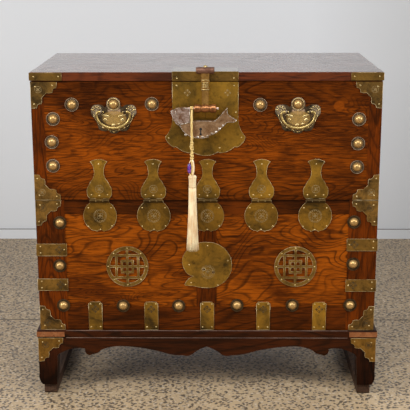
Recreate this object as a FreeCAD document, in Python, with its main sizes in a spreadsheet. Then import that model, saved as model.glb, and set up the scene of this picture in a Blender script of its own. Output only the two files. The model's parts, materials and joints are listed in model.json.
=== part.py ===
import FreeCAD, Part
import math
import os
import Sketcher

# A drop-front chest: a joined wooden box on a low footed stand.  The upper half of the
# front is a flap that turns down about five strap hinges.  A hasp on the top edge comes
# down over a pair of staples on the flap, where a fish padlock with a tassel holds it.
# Frame: X to the right as seen from the front, Y towards the back, Z up, floor at zero.

doc = FreeCAD.newDocument("chest")
sheet = doc.addObject("Spreadsheet::Sheet", "Sizes")


class Size:
    """A length or a share, together with the formula that gives it in the sheet."""

    def __init__(self, amount, formula):
        self.amount = amount
        self.formula = formula

    def __add__(self, other):
        return Size(self.amount + other.amount, "(%s + %s)" % (self.formula, other.formula))

    def __sub__(self, other):
        return Size(self.amount - other.amount, "(%s - %s)" % (self.formula, other.formula))

    def __mul__(self, other):
        return Size(self.amount * other.amount, "(%s * %s)" % (self.formula, other.formula))

    def __truediv__(self, other):
        return Size(self.amount / other.amount, "(%s / %s)" % (self.formula, other.formula))

    def __neg__(self):
        return Size(-self.amount, "(0 - %s)" % self.formula)


class Sizes:
    """The named sizes, read as attributes."""


S = Sizes()
zero = Size(0.0, "0")


def share(amount):
    """A chosen share as a plain factor in a formula."""
    return Size(float(amount), repr(float(amount)))


def root(value):
    return Size(math.sqrt(value.amount), "sqrt(%s)" % value.formula)


def arcsine(value):
    """An angle in degrees from its sine."""
    return Size(math.degrees(math.asin(value.amount)), "asin(%s)" % value.formula)


half_share = share(0.5)
twice_share = share(2)
full_turn = 360


dimensions = {
    "body_width": 900,  # width of the box and of its top board
    "body_depth": 466,  # depth of the box and of its top board
    "overall_height": 883,  # floor to the upper face of the top board
    "top_thick": 22,  # top board
    "board_thick": 20,  # side boards
    "back_thick": 14,  # back board
    "bottom_thick": 16,  # bottom board
    "front_thick": 22,  # flap and lower front
    "front_seat": 0.5,  # running gap between the flap and the side boards
    "top_gap": 2,  # gap between the flap and the top board
    "split_height": 548,  # hinge line of the flap above the floor
    "split_gap": 0.7,  # gap at the split, above and below the hinge line
    "flap_end_width": 34,  # upright end board of the flap
    "bevel": 1.2,  # eased edge of a wooden board
    # Lower front
    "side_stile_width": 76,  # outer stile of the lower front
    "centre_stile_width": 53,  # middle stile of the lower front
    "lower_top_rail": 37,  # upper rail of the lower front
    "lower_bottom_rail": 65,  # lower rail of the lower front
    "panel_recess": 1.5,  # how far the figured panels lie behind their frame
    # Stand
    "moulding_bottom": 166,  # underside of the moulding above the floor
    "moulding_tall": 21,  # height of the moulding
    "moulding_reach": 8.5,  # how far the moulding stands out from the box
    "moulding_wide": 60,  # width of a moulding rail seen from above
    "moulding_round": 3.5,  # rounded edge of the moulding
    "stand_reach": 7,  # how far the legs and aprons stand out from the box
    "leg_width": 63,  # width of a leg where it meets the apron
    "leg_waist": 48,  # width of a leg at its middle
    "leg_thick": 46,  # depth of a leg
    "leg_foot_inset": 8,  # how far the foot of a leg draws in at its outer edge
    "leg_foot_rise": 32,  # height over which the foot draws in
    "leg_arch_drop": 22,  # depth of the arch that joins leg and apron
    "leg_apron_height": 123,  # lower edge of the apron where it meets a leg
    "apron_thick": 20,  # thickness of the aprons
    "apron_side_drop": 34,  # depth of the side apron at its ends
    "apron_side_rise": 14,  # rise of the arch of the side apron
    "back_rail_drop": 40,  # depth of the rail between the back legs
    "runner_wide": 34,  # width of a floor runner
    "runner_tall": 30,  # height of a floor runner
    "runner_inset": 4,  # how far the runner lies inside the outer edge of the box
    "runner_setback": 1,  # how far the runner's front end lies behind the box front
    "runner_round": 5,  # rounded end of a runner
    # Flat fittings
    "plate_thick": 2,  # sheet brass of the fittings
    "corner_size": 67.5,  # leg of a corner plate along the edge
    "corner_inset": 0.5,  # margin between a corner plate and the edge of its board
    "corner_strap_width": 81,  # strap on the front edge at each end of the top board
    "strap_margin": 1,  # wood left bare above and below a strap on the top board
    "side_strap_width": 79,  # strap across each upright edge, its front leaf
    "side_strap_tall": 33,  # height of those straps
    "foot_strap_width": 36,  # upright straps along the lower edge of the front
    "foot_strap_tall": 79,  # height of those straps
    "foot_strap_shift": 1.4,  # middle one of those straps from the middle of the chest
    "cap_width": 74,  # copper cap on each front corner of the moulding
    "cap_thick": 1.2,  # sheet copper of the caps
    # Lock plate and the strap above it
    "lock_centre": -2.5,  # middle of the lock fittings from the middle of the chest
    "lock_width": 168.5,  # lock plate at its straight upper part
    "lock_straight": 87,  # height of the straight upper part
    "lock_lobe_out": 19,  # how far the lower lobes flare beyond the straight sides
    "lock_tall": 191,  # height of the lock plate to its lowest cusp
    "lock_strap_deep": 86,  # length of the lock strap back over the top board
    # Strap hinges of the flap
    "hinge_shift": 2.5,  # middle hinge from the middle of the chest
    "hinge_reach": 6,  # hinge pin in front of the box front
    "knuckle_radius": 5.5,  # outer radius of a hinge knuckle
    "knuckle_width": 50,  # whole length of a hinge barrel
    "knuckle_middle": 18,  # middle knuckle, fixed to the flap
    "pin_radius": 2,  # hinge pin
    "pin_clear": 0.3,  # clearance round a pin and between knuckles
    "leaf_clear": 5,  # height of a leaf's edge from the pin line where it passes a knuckle
    "leaf_gap": 16.5,  # gap between the lock plate and the leaf below it
    "upper_leaf_head": 44,  # flared head of the upper leaf
    "upper_leaf_neck": 26.6,  # neck of the upper leaf
    "upper_leaf_belly": 64,  # belly of the upper leaf
    "lower_leaf_radius": 44,  # disc of the lower leaf
    "lower_leaf_drop": 42.5,  # centre of that disc below the hinge line
    "lower_leaf_cut": 5,  # how much of the disc's bottom is cut to a double cusp
    # Domed studs
    "stud_radius": 11.8,  # dome of a stud
    "stud_rise": 9,  # height of a dome
    "washer_radius": 17.8,  # washer under a dome
    "washer_thick": 1.5,  # thickness of a washer
    # Drop handles
    "handle_drop": 76,  # bail pivot below the upper edge of the flap
    "handle_reach": 12,  # bail pivot in front of the box front
    "bail_width": 92,  # bail over its wire
    "bail_drop": 45,  # bail below its pivot
    "bail_wire": 3,  # radius of the bail's wire at its sides
    "bail_grip": 3.9,  # radius of the wire where the hand lifts it
    "bail_pin": 2.5,  # radius of the bail's ends in their eyes
    "bail_bead": 4.3,  # radius of the beads beside the eyes
    "bead_width": 3,  # width of a bead
    "eye_spread": 59,  # distance between the two eyes of a handle
    "eye_radius": 5.6,  # outer radius of an eye
    "eye_width": 6,  # width of an eye
    "eye_clear": 0.4,  # clearance of the bail in its eyes
    "back_width": 116,  # handle plate across its wings
    "back_above": 17,  # handle plate above the pivot
    "back_below": 57,  # handle plate below the pivot, with its tab
    "handle_stud_rise": 18.7,  # stud above the pivot of a handle
    # Openwork plates of the lower front
    "medal_radius": 55.5,  # outer radius of the openwork rings
    "medal_rim": 9,  # width of their rim
    "lattice_bar": 5,  # bars of the lattice inside a ring
    "lattice_height": 62,  # height of the lattice's outer bars apart
    "lattice_width": 58,  # width of the lattice's uprights apart
    "swirl_radius": 63.5,  # middle plate
    "swirl_x": 3.5,  # middle plate from the middle of the chest
    "swirl_hole": 13,  # radius of the pierced eye of the middle plate
    # Hasp
    "rod_reach": 24,  # padlock rod in front of the box front
    "rod_drop": 89,  # padlock rod below the top of the chest
    "rod_radius": 3,  # padlock rod
    "staple_radius": 8.5,  # outer radius of the staples and of the hasp's eye
    "staple_width": 17.5,  # width of one staple
    "hasp_eye_width": 20.6,  # width of the hasp's eye
    "staple_clear": 0.5,  # play between the eyes and round the rod
    "hasp_reach": 8.5,  # hasp barrel in front of the box front
    "hasp_rise": 7.2,  # hasp barrel above the top board
    "barrel_radius": 7,  # hasp barrel
    "barrel_width": 47,  # length of the barrel
    "barrel_tip": 4,  # tapered length at each end of the barrel
    "hasp_leaf_back": 30,  # length of the barrel's leaves back over the lock strap
    "hasp_pin_radius": 2.2,  # pin of the hasp barrel
    "mouth_above": 2.6,  # mouth of the hasp's hook above the pin line
    "mouth_below": 4.5,  # mouth of the hasp's hook below the pin line
    "bar_top_width": 21,  # hasp bar at the barrel
    "bar_width": 17.5,  # hasp bar between its collar rings and below
    "bar_thick": 7,  # thickness of the bar
    "collar_wide": 22.5,  # collar rings of the bar
    "collar_thick": 9.5,  # thickness of a collar ring
    "collar_tall": 4.5,  # height of a collar ring
    "collar_low": 49.5,  # lower collar ring below the barrel
    "collar_high": 27,  # upper collar ring below the barrel
    # Fish padlock
    "case_thick": 19,  # thickness of the padlock
    "fish_left": 74,  # left end of the case from the middle of the chest
    "fish_right": 78,  # tip of the tail from the middle of the chest
    "fish_bottom": 75,  # belly below the rod
    "head_left": 79,  # left edge of the head block from the middle
    "head_right": 41.5,  # right edge of the head block from the middle
    "head_top": 3,  # top of the head block above the rod
    "head_foot": 39,  # lowest point of the head block below the rod
    "rod_end": 31,  # tip of the rod from the middle
    "bolt_tall": 7,  # bolt that enters the case
    "bolt_thick": 7,  # thickness of the bolt
    "bolt_reach": 63,  # bolt from the head block's left edge into the case
    "bolt_drop": 37.5,  # middle of the bolt below the rod
    "bolt_clear": 0.5,  # clearance of the bolt in the case
    "fin_thick": 3,  # thickness of the crescent fin
    # Cord, bead and tassel
    "cord_radius": 3.2,  # cord
    "tie_radius": 5.4,  # turns of the cord round the rod
    "tie_width": 6.6,  # width of those turns
    "cord_x": 36.8,  # cord from the middle of the chest, to the left
    "cord_reach": 38.2,  # cord in front of the box front, where it hangs
    "bead_long": 27,  # height of the glass bead
    "bead_wide": 5,  # half width of the glass bead
    "tassel_hang": 177,  # head of the tassel below the rod
    "tassel_long": 197,  # length of the tassel
    "tassel_head": 9.2,  # radius of the tassel's head
    "tassel_neck": 8.2,  # radius under the head
    "tassel_skirt": 15,  # radius at the tassel's lower end
    "tassel_head_tall": 26,  # height of the bound head
    "overrun": 30,  # how far a cutting tool passes beyond what it cuts
}
for row, (name, amount) in enumerate(dimensions.items(), start=1):
    sheet.set("A%d" % row, name)
    sheet.set("B%d" % row, str(amount))
    sheet.setAlias("B%d" % row, name)
    setattr(S, name, Size(float(amount), "Sizes." + name))

# Places worked out from those sizes.  The frame's origin lies under the middle of the box
# that holds everything but the cord, so the padlock's front face shifts it forwards.
half_width = S.body_width * half_share
front_reach = S.rod_reach + S.case_thick * half_share
front = (front_reach - S.body_depth) * half_share
back = front + S.body_depth
top = S.overall_height
top_under = top - S.top_thick
flap_top = top_under - S.top_gap
flap_bottom = S.split_height + S.split_gap
lower_top = S.split_height - S.split_gap
box_bottom = S.moulding_bottom + S.moulding_tall
frame_back = front + S.front_thick + S.front_seat
stand_front = front - S.stand_reach
stand_side = half_width + S.stand_reach
pin_y = front - S.hinge_reach
face = front - S.plate_thick
flap_tall = flap_top - flap_bottom
front_tall = lower_top - box_bottom
handle_z = flap_top - S.handle_drop
rod_z = top - S.rod_drop


def on_flap(level):
    """A height on the flap, from a share of its height."""
    return flap_bottom + flap_tall * share(level)


def on_front(level):
    """A height on the lower front, from a share of its height."""
    return box_bottom + front_tall * share(level)


def from_middle(level):
    """A place across the front, from a share of half its width."""
    return half_width * share(level)


hinge_pitch = from_middle(0.314)
foot_strap_pitch = from_middle(0.3344)
handle_places = {"left": from_middle(-0.5289), "right": from_middle(0.5216)}

north = FreeCAD.Rotation(FreeCAD.Vector(1, 0, 0), -90)
along_x = FreeCAD.Rotation(FreeCAD.Vector(0, 1, 0), 90)
to_front = FreeCAD.Rotation(FreeCAD.Vector(1, 0, 0), 90)
upright = FreeCAD.Rotation()


def bind(obj, name, value):
    """Tie one property of an object to its formula."""
    obj.setExpression(name, value.formula)


def place(obj, x, y, z, rotation=upright):
    """Put an object at named coordinates."""
    obj.Placement = FreeCAD.Placement(FreeCAD.Vector(x.amount, y.amount, z.amount), rotation)
    bind(obj, "Placement.Base.x", x)
    bind(obj, "Placement.Base.y", y)
    bind(obj, "Placement.Base.z", z)
    return obj


def block(name, x, y, z, far_x, far_y, far_z):
    """A box between two corners."""
    obj = doc.addObject("Part::Box", name)
    obj.Label = name
    bind(obj, "Length", far_x - x)
    bind(obj, "Width", far_y - y)
    bind(obj, "Height", far_z - z)
    return place(obj, x, y, z)


def rod_x(name, x, y, z, radius, length):
    """A cylinder that runs along X from its left end."""
    obj = doc.addObject("Part::Cylinder", name)
    obj.Label = name
    bind(obj, "Radius", radius)
    bind(obj, "Height", length)
    return place(obj, x, y, z, along_x)


def taper_x(name, x, y, z, first_radius, last_radius, length):
    """A cone frustum that runs along X from its left end."""
    obj = doc.addObject("Part::Cone", name)
    obj.Label = name
    bind(obj, "Radius1", first_radius)
    bind(obj, "Radius2", last_radius)
    bind(obj, "Height", length)
    return place(obj, x, y, z, along_x)


def post_y(name, x, y, z, radius, length):
    """A cylinder that runs forwards along -Y from its back end."""
    obj = doc.addObject("Part::Cylinder", name)
    obj.Label = name
    bind(obj, "Radius", radius)
    bind(obj, "Height", length)
    return place(obj, x, y, z, to_front)


def eased(name, base, edges, amount):
    """Bevel the chosen edges of a Part object."""
    doc.recompute()
    obj = doc.addObject("Part::Chamfer", name)
    obj.Label = name
    obj.Base = base
    picked = []
    for number, edge in enumerate(base.Shape.Edges, start=1):
        if edges(edge):
            picked.append((number, amount.amount, amount.amount))
    obj.Edges = picked
    return obj


def cut(name, base, tools):
    """Take one or more tools away from a base."""
    obj = doc.addObject("Part::Cut", name)
    obj.Label = name
    obj.Base = base
    obj.Tool = tools[0] if len(tools) == 1 else joined(name + "_tools", tools)
    return obj


def joined(name, pieces):
    """Fuse several pieces into one solid."""
    obj = doc.addObject("Part::MultiFuse", name)
    obj.Label = name
    obj.Shapes = pieces
    obj.Refine = True
    return obj


def group(name, pieces):
    """Keep several solids side by side in one node."""
    obj = doc.addObject("Part::Compound", name)
    obj.Label = name
    obj.Links = pieces
    return obj


def new_body(name):
    body = doc.addObject("PartDesign::Body", name)
    body.Label = name
    body.AllowCompound = True
    return body


def origin_plane(body, role):
    for feature in body.Origin.OriginFeatures:
        if feature.Role == role:
            return feature
    return None


def point(pair):
    return FreeCAD.Vector(pair[0].amount, pair[1].amount, 0)


def outline(body, name, role, corners):
    """A closed outline.  Each corner is (across, up) or (across, up, bow), where bow is the
    share of the chord by which the edge that leaves it swells to its left."""
    sketch = body.newObject("Sketcher::SketchObject", name)
    sketch.AttachmentSupport = (origin_plane(body, role), [""])
    sketch.MapMode = "FlatFace"
    count = len(corners)
    starts = []
    for index, corner in enumerate(corners):
        here = point(corner)
        there = point(corners[(index + 1) % count])
        if len(corner) > 2:
            run = there.sub(here)
            side = FreeCAD.Vector(-run.y, run.x, 0)
            middle = here.add(there).multiply(0.5).add(side.multiply(corner[2].amount))
            edge = Part.Arc(here, middle, there)
        else:
            edge = Part.LineSegment(here, there)
        number = sketch.addGeometry(edge, False)
        first = sketch.getPoint(number, 1)
        starts.append(1 if first.distanceToPoint(here) < first.distanceToPoint(there) else 2)
    rules = []
    formulas = []
    for index, corner in enumerate(corners):
        start = starts[index]
        before = (index - 1) % count
        before_end = 2 if starts[before] == 1 else 1
        rules.append(Sketcher.Constraint("Coincident", before, before_end, index, start))
        formulas.append(None)
        rules.append(Sketcher.Constraint("DistanceX", -1, 1, index, start, corner[0].amount))
        formulas.append(corner[0])
        rules.append(Sketcher.Constraint("DistanceY", -1, 1, index, start, corner[1].amount))
        formulas.append(corner[1])
        if len(corner) > 2:
            following = corners[(index + 1) % count]
            wide = following[0] - corner[0]
            tall = following[1] - corner[1]
            chord = root(wide * wide + tall * tall)
            bow = share(abs(corner[2].amount))
            radius = chord * (share(1) + share(4) * bow * bow) / (share(8) * bow)
            rules.append(Sketcher.Constraint("Radius", index, radius.amount))
            formulas.append(radius)
    sketch.addConstraint(rules)
    for index, value in enumerate(formulas):
        if value is not None:
            sketch.setExpression("Constraints[%d]" % index, value.formula)
    return sketch


def pad(body, name, sketch, length, both=False, backwards=False):
    feature = body.newObject("PartDesign::Pad", name)
    feature.Profile = sketch
    feature.Length = length.amount
    bind(feature, "Length", length)
    feature.Midplane = both
    feature.Reversed = backwards
    return feature


def mirrored(body, name, originals, role):
    """Repeat features on the other side of one of the body's own planes."""
    feature = body.newObject("PartDesign::Mirrored", name)
    feature.Originals = originals
    feature.MirrorPlane = (origin_plane(body, role), [""])
    body.Tip = feature
    return feature


def row_of(body, name, originals, sketch, pitch, gaps, count):
    """Repeat features along X at a pitch."""
    feature = body.newObject("PartDesign::LinearPattern", name)
    feature.Originals = originals
    feature.Direction = (sketch, ["H_Axis"])
    feature.Length = (pitch * gaps).amount
    bind(feature, "Length", pitch * gaps)
    feature.Occurrences = count
    body.Tip = feature
    return feature


def reflect(pairs, crown=None):
    """Close a half outline given from top to bottom on the right with its mirror image.
    A crown is the bow of the edge across the top."""
    right = list(pairs)
    left = []
    for index in range(len(right) - 1, -1, -1):
        across, up = right[index][0], right[index][1]
        bow = right[index - 1][2] if index > 0 and len(right[index - 1]) > 2 else None
        if across is zero:
            continue
        left.append((-across, up, bow) if bow is not None else (-across, up))
    if right[-1][0] is zero:
        last = right[-1]
        bow = right[-2][2] if len(right[-2]) > 2 else None
        right[-1] = (last[0], last[1], bow) if bow is not None else (last[0], last[1])
    if crown is not None:
        left[-1] = left[-1][:2] + (crown,)
    return right + left


# Carcass: the top board covers the sides and both halves of the front.
kept = []


def keep(obj):
    kept.append(obj)
    return obj


def long_edge(edge):
    """The edges of a board that run with its length."""
    box = edge.BoundBox
    return max(box.XLength, box.YLength, box.ZLength) > S.leg_waist.amount


top_blank = block("top_blank", -half_width, front, top_under, half_width, back, top)
keep(eased("top_board", top_blank, lambda edge: edge.BoundBox.ZMin > top.amount - S.bevel.amount, S.bevel))
for side, sign in (("left", share(-1)), ("right", share(1))):
    outer = half_width * sign
    inner = (half_width - S.board_thick) * sign
    low_x, high_x = (outer, inner) if side == "left" else (inner, outer)
    keep(block("side_board_" + side, low_x, frame_back, box_bottom, high_x, back, top_under))
inside = half_width - S.board_thick
keep(block("back_board", -inside, back - S.back_thick, box_bottom, inside, back, top_under))
keep(block("bottom_board", -inside, frame_back, box_bottom, inside, back - S.back_thick,
           box_bottom + S.bottom_thick))

# Lower front: three stiles, two rails and two figured panels between them.
stile_in = half_width - S.side_stile_width
centre_half = S.centre_stile_width * half_share
rail_top = lower_top - S.lower_top_rail
rail_bottom = box_bottom + S.lower_bottom_rail
panel_front = front + S.panel_recess
keep(block("stile_left", -half_width, front, box_bottom, -stile_in, frame_back, lower_top))
keep(block("stile_right", stile_in, front, box_bottom, half_width, frame_back, lower_top))
keep(block("rail_top", -stile_in, front, rail_top, stile_in, frame_back, lower_top))
keep(block("rail_bottom", -stile_in, front, box_bottom, stile_in, frame_back, rail_bottom))
keep(block("stile_centre", -centre_half, front, rail_bottom, centre_half, frame_back, rail_top))
keep(block("panel_left", -stile_in, panel_front, rail_bottom, -centre_half, frame_back, rail_top))
keep(block("panel_right", centre_half, panel_front, rail_bottom, stile_in, frame_back, rail_top))

# Flap: a figured board held flat by an upright board at each end.
flap_in = half_width - S.flap_end_width
flap_back = front + S.front_thick
keep(block("flap_panel", -flap_in, front, flap_bottom, flap_in, flap_back, flap_top))
keep(block("flap_end_left", -half_width, front, flap_bottom, -flap_in, flap_back, flap_top))
keep(block("flap_end_right", flap_in, front, flap_bottom, half_width, flap_back, flap_top))

# Stand: rounded moulding rails, shaped aprons, four legs and two floor runners.
moulding_top = box_bottom
moulding_side = half_width + S.moulding_reach
moulding_front = front - S.moulding_reach


def moulding(name, role, length, turn):
    """A rail with a rounded outer face, drawn in section and drawn out along its length."""
    body = new_body(name)
    reach = S.moulding_wide
    corners = [
        (zero, S.moulding_round, -share(0.2)),
        (S.moulding_round, zero),
        (reach, zero),
        (reach, S.moulding_tall),
        (S.moulding_round, S.moulding_tall, -share(0.2)),
        (zero, S.moulding_tall - S.moulding_round),
    ]
    if turn:
        corners = [(-corner[0],) + corner[1:2] + ((-corner[2],) if len(corner) > 2 else ())
                   for corner in corners]
    sketch = outline(body, name + "_section", role, corners)
    pad(body, name + "_pad", sketch, length, both=True)
    return body


front_rail = moulding("moulding_front", "YZ_Plane", moulding_side * twice_share, False)
keep(place(front_rail, zero, moulding_front, S.moulding_bottom))
side_start = moulding_front + S.moulding_wide
side_length = back - side_start
for side, sign, turn in (("left", share(-1), False), ("right", share(1), True)):
    rail = moulding("moulding_" + side, "XZ_Plane", side_length, turn)
    keep(place(rail, moulding_side * sign, side_start + side_length * half_share, S.moulding_bottom))
moulding_in = moulding_side - S.moulding_wide
keep(block("moulding_back", -moulding_in, back - S.moulding_wide, S.moulding_bottom,
           moulding_in, back, moulding_top))

leg_tall = S.moulding_bottom - S.runner_tall
arch_low = S.leg_apron_height - S.runner_tall


def leg(name, sign, y):
    """A leg seen from the front: straight outside with a drawn-in foot, arched inside."""
    body = new_body(name)
    flip = share(sign)
    corners = [
        (zero, leg_tall),
        (zero, S.leg_foot_rise, share(-0.12)),
        (S.leg_foot_inset, zero),
        (S.leg_waist - S.staple_clear, zero),
        (S.leg_waist, S.leg_foot_rise),
        (S.leg_waist + (S.leg_width - S.leg_waist) * share(0.2), arch_low - S.leg_arch_drop,
         share(0.22)),
        (S.leg_width, arch_low),
        (S.leg_width, leg_tall),
    ]
    corners = [(-corner[0] * flip,) + corner[1:2] + ((corner[2] * flip * share(-1),)
               if len(corner) > 2 else ()) for corner in corners]
    sketch = outline(body, name + "_outline", "XZ_Plane", corners)
    pad(body, name + "_pad", sketch, S.leg_thick, backwards=True)
    return keep(place(body, stand_side * flip, y, S.runner_tall))


for side, sign in (("left", -1), ("right", 1)):
    leg("leg_front_" + side, sign, stand_front)
    leg("leg_back_" + side, sign, back - S.leg_thick)

apron_half = stand_side - S.leg_width
apron_tall = S.moulding_bottom - S.leg_apron_height
apron_edge_shares = (
    (1.000, 0.000, -0.10), (0.838, 0.260, 0.12), (0.828, -0.105, 0.0), (0.810, -0.190, 0.0),
    (0.751, -0.030, 0.0), (0.727, 0.175, -0.06), (0.584, 0.430, -0.03), (0.302, 0.022, 0.05),
    (0.167, -0.170, 0.16), (0.088, -0.016, -0.05), (0.000, 0.418, 0.0),
)
body = new_body("apron_front")
half_edge = []
for across, up, bow in apron_edge_shares:
    corner = (apron_half * share(across), apron_tall * share(up)) if across else (
        zero, apron_tall * share(up))
    half_edge.append(corner + ((share(bow),) if bow else ()))
corners = [(apron_half, apron_tall)] + half_edge
sketch = outline(body, "apron_front_outline", "XZ_Plane", reflect(corners))
pad(body, "apron_front_pad", sketch, S.apron_thick, backwards=True)
keep(place(body, zero, stand_front, S.leg_apron_height))

side_apron_length = back - S.leg_thick - (stand_front + S.leg_thick)
for side, sign in (("left", share(-1)), ("right", share(1))):
    body = new_body("apron_" + side)
    span = side_apron_length * half_share
    corners = [
        (span, S.apron_side_drop),
        (span, zero),
        (span * share(0.72), S.apron_side_rise * share(0.8), share(-0.03)),
        (-span * share(0.72), S.apron_side_rise * share(0.8)),
        (-span, zero),
        (-span, S.apron_side_drop),
    ]
    sketch = outline(body, "apron_" + side + "_outline", "YZ_Plane", corners)
    pad(body, "apron_" + side + "_pad", sketch, S.apron_thick, backwards=(side == "right"))
    keep(place(body, stand_side * sign, (back + stand_front) * half_share,
               S.moulding_bottom - S.apron_side_drop))
keep(block("back_rail", -apron_half, back - S.apron_thick, S.moulding_bottom - S.back_rail_drop,
           apron_half, back, S.moulding_bottom))

for side, sign in (("left", -1), ("right", 1)):
    outer = (half_width - S.runner_inset) * share(sign)
    inner = (half_width - S.runner_inset - S.runner_wide) * share(sign)
    low_x, high_x = (outer, inner) if side == "left" else (inner, outer)
    blank = block("runner_blank_" + side, low_x, front + S.runner_setback, zero, high_x, back,
                  S.runner_tall)
    keep(eased("runner_" + side, blank, lambda edge: edge.BoundBox.ZMax < S.bevel.amount
               and edge.BoundBox.YLength < S.bevel.amount, S.runner_round))

# Corner plates: one outline, drawn at the right and mirrored to the left.
corner_outline_shares = (
    (1.00, 0.00, 0.0), (0.98, 0.22, 0.25), (0.83, 0.39, -0.08), (0.60, 0.41, 0.0),
    (0.41, 0.60, -0.08), (0.39, 0.83, 0.25), (0.22, 0.98, 0.0), (0.00, 1.00, 0.0),
)


def corner_plate(body, name, reach, height, upwards):
    """One corner plate whose square corner lies at (reach, height)."""
    corners = [(reach, height)]
    for along, out, bow in corner_outline_shares:
        up = S.corner_size * share(out if upwards else -out)
        swell = share(-bow if upwards else bow)
        corners.append((reach - S.corner_size * share(along), height + up)
                       + ((swell,) if bow else ()))
    sketch = outline(body, name + "_outline", "XZ_Plane", corners)
    return pad(body, name + "_pad", sketch, S.plate_thick)


def corner_pairs(name, reach, levels, y):
    body = new_body(name)
    pads = [corner_plate(body, name + tag, reach, height, upwards) for tag, height, upwards in levels]
    mirrored(body, name + "_mirror", pads, "YZ_Plane")
    return keep(place(body, zero, y, zero))


plate_side = half_width - S.corner_inset
corner_pairs("flap_corner_plates", plate_side,
             (("_top", flap_top - S.corner_inset, False),
              ("_low", flap_bottom + S.corner_inset, True)), front)
corner_pairs("front_corner_plates", plate_side,
             (("_top", lower_top - S.corner_inset, False),
              ("_low", box_bottom + S.corner_inset, True)), front)
corner_pairs("leg_plates", stand_side - S.corner_inset,
             (("_top", S.moulding_bottom - S.corner_inset, False),), stand_front)

# Straps: each is a strip bent round the upright edge, with a leaf on the side too.


def wrap(name, width, strips, y, thick, outer):
    """Strips of sheet metal bent round the upright front edges.  Each is (side, bottom,
    height), where side is -1 at the left edge and 1 at the right, and is an L in plan."""
    inner = outer - width
    body = new_body(name)
    for index, (side, bottom, tall) in enumerate(strips):
        flip = share(side)
        corners = [
            (inner * flip, -thick), ((outer + thick) * flip, -thick), ((outer + thick) * flip, width),
            (outer * flip, width), (outer * flip, zero), (inner * flip, zero),
        ]
        sketch = outline(body, "%s_plan%d" % (name, index), "XY_Plane", corners)
        sketch.AttachmentOffset = FreeCAD.Placement(FreeCAD.Vector(0, 0, bottom.amount), upright)
        bind(sketch, "AttachmentOffset.Base.z", bottom)
        pad(body, "%s_pad%d" % (name, index), sketch, tall)
    return keep(place(body, zero, y, zero))


strap_tall = S.side_strap_tall
side_strap_shares = ((-1, 0.355), (-1, 0.6245), (1, 0.351), (1, 0.6645))
cap_inset = S.moulding_round
both_sides = (-1, 1)
wrap("top_corner_straps", S.corner_strap_width,
     [(side, top_under + S.strap_margin, S.top_thick - S.strap_margin * twice_share)
      for side in both_sides], front, S.plate_thick, half_width)
wrap("side_straps", S.side_strap_width,
     [(side, on_front(level) - strap_tall * half_share, strap_tall)
      for side, level in side_strap_shares], front, S.plate_thick, half_width)
wrap("moulding_caps", S.cap_width,
     [(side, S.moulding_bottom + cap_inset, S.moulding_tall - cap_inset * twice_share)
      for side in both_sides], moulding_front, S.cap_thick, moulding_side)

body = new_body("foot_straps")
strap_half = S.foot_strap_width * half_share
clip = S.foot_strap_width * share(0.12)
first_x = S.foot_strap_shift - foot_strap_pitch * twice_share
corners = [
    (first_x - strap_half, zero),
    (first_x + strap_half, zero),
    (first_x + strap_half, S.foot_strap_tall - clip, share(0.18)),
    (first_x + strap_half - clip, S.foot_strap_tall),
    (first_x - strap_half + clip, S.foot_strap_tall, share(0.18)),
    (first_x - strap_half, S.foot_strap_tall - clip),
]
sketch = outline(body, "foot_strap_outline", "XZ_Plane", corners)
strap_pad = pad(body, "foot_strap_pad", sketch, S.plate_thick)
row_of(body, "foot_strap_row", [strap_pad], sketch, foot_strap_pitch, share(4), 5)
keep(place(body, zero, front, box_bottom + S.corner_inset))

# Lock plate on the flap, with flared lobes and a scalloped lower edge.
lock_half = S.lock_width * half_share
lobe = lock_half + S.lock_lobe_out
body = new_body("lock_plate")
corners = reflect([
    (lock_half, zero),
    (lock_half, -S.lock_straight, share(-0.10)),
    (lobe, -S.lock_tall * share(0.745), share(0.12)),
    (lobe * share(0.79), -S.lock_tall * share(0.885)),
    (lobe * share(0.73), -S.lock_tall * share(0.878), share(0.10)),
    (lobe * share(0.36), -S.lock_tall * share(0.962)),
    (lobe * share(0.31), -S.lock_tall * share(0.950), share(0.08)),
    (zero, -S.lock_tall),
])
sketch = outline(body, "lock_outline", "XZ_Plane", corners)
pad(body, "lock_pad", sketch, S.plate_thick)
keep(place(body, S.lock_centre, front, flap_top - S.corner_inset))

# The strap above it runs over the front edge and back along the top.
body = new_body("top_lock_strap")
corners = [
    (zero, zero), (zero, S.top_thick), (S.lock_strap_deep, S.top_thick),
    (S.lock_strap_deep, S.top_thick + S.plate_thick), (-S.plate_thick, S.top_thick + S.plate_thick),
    (-S.plate_thick, zero),
]
sketch = outline(body, "lock_strap_section", "YZ_Plane", corners)
pad(body, "lock_strap_pad", sketch, S.lock_width, both=True)
keep(place(body, S.lock_centre, front, top_under))
hasp_y = front - S.hasp_reach
hasp_z = top + S.hasp_rise

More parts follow.
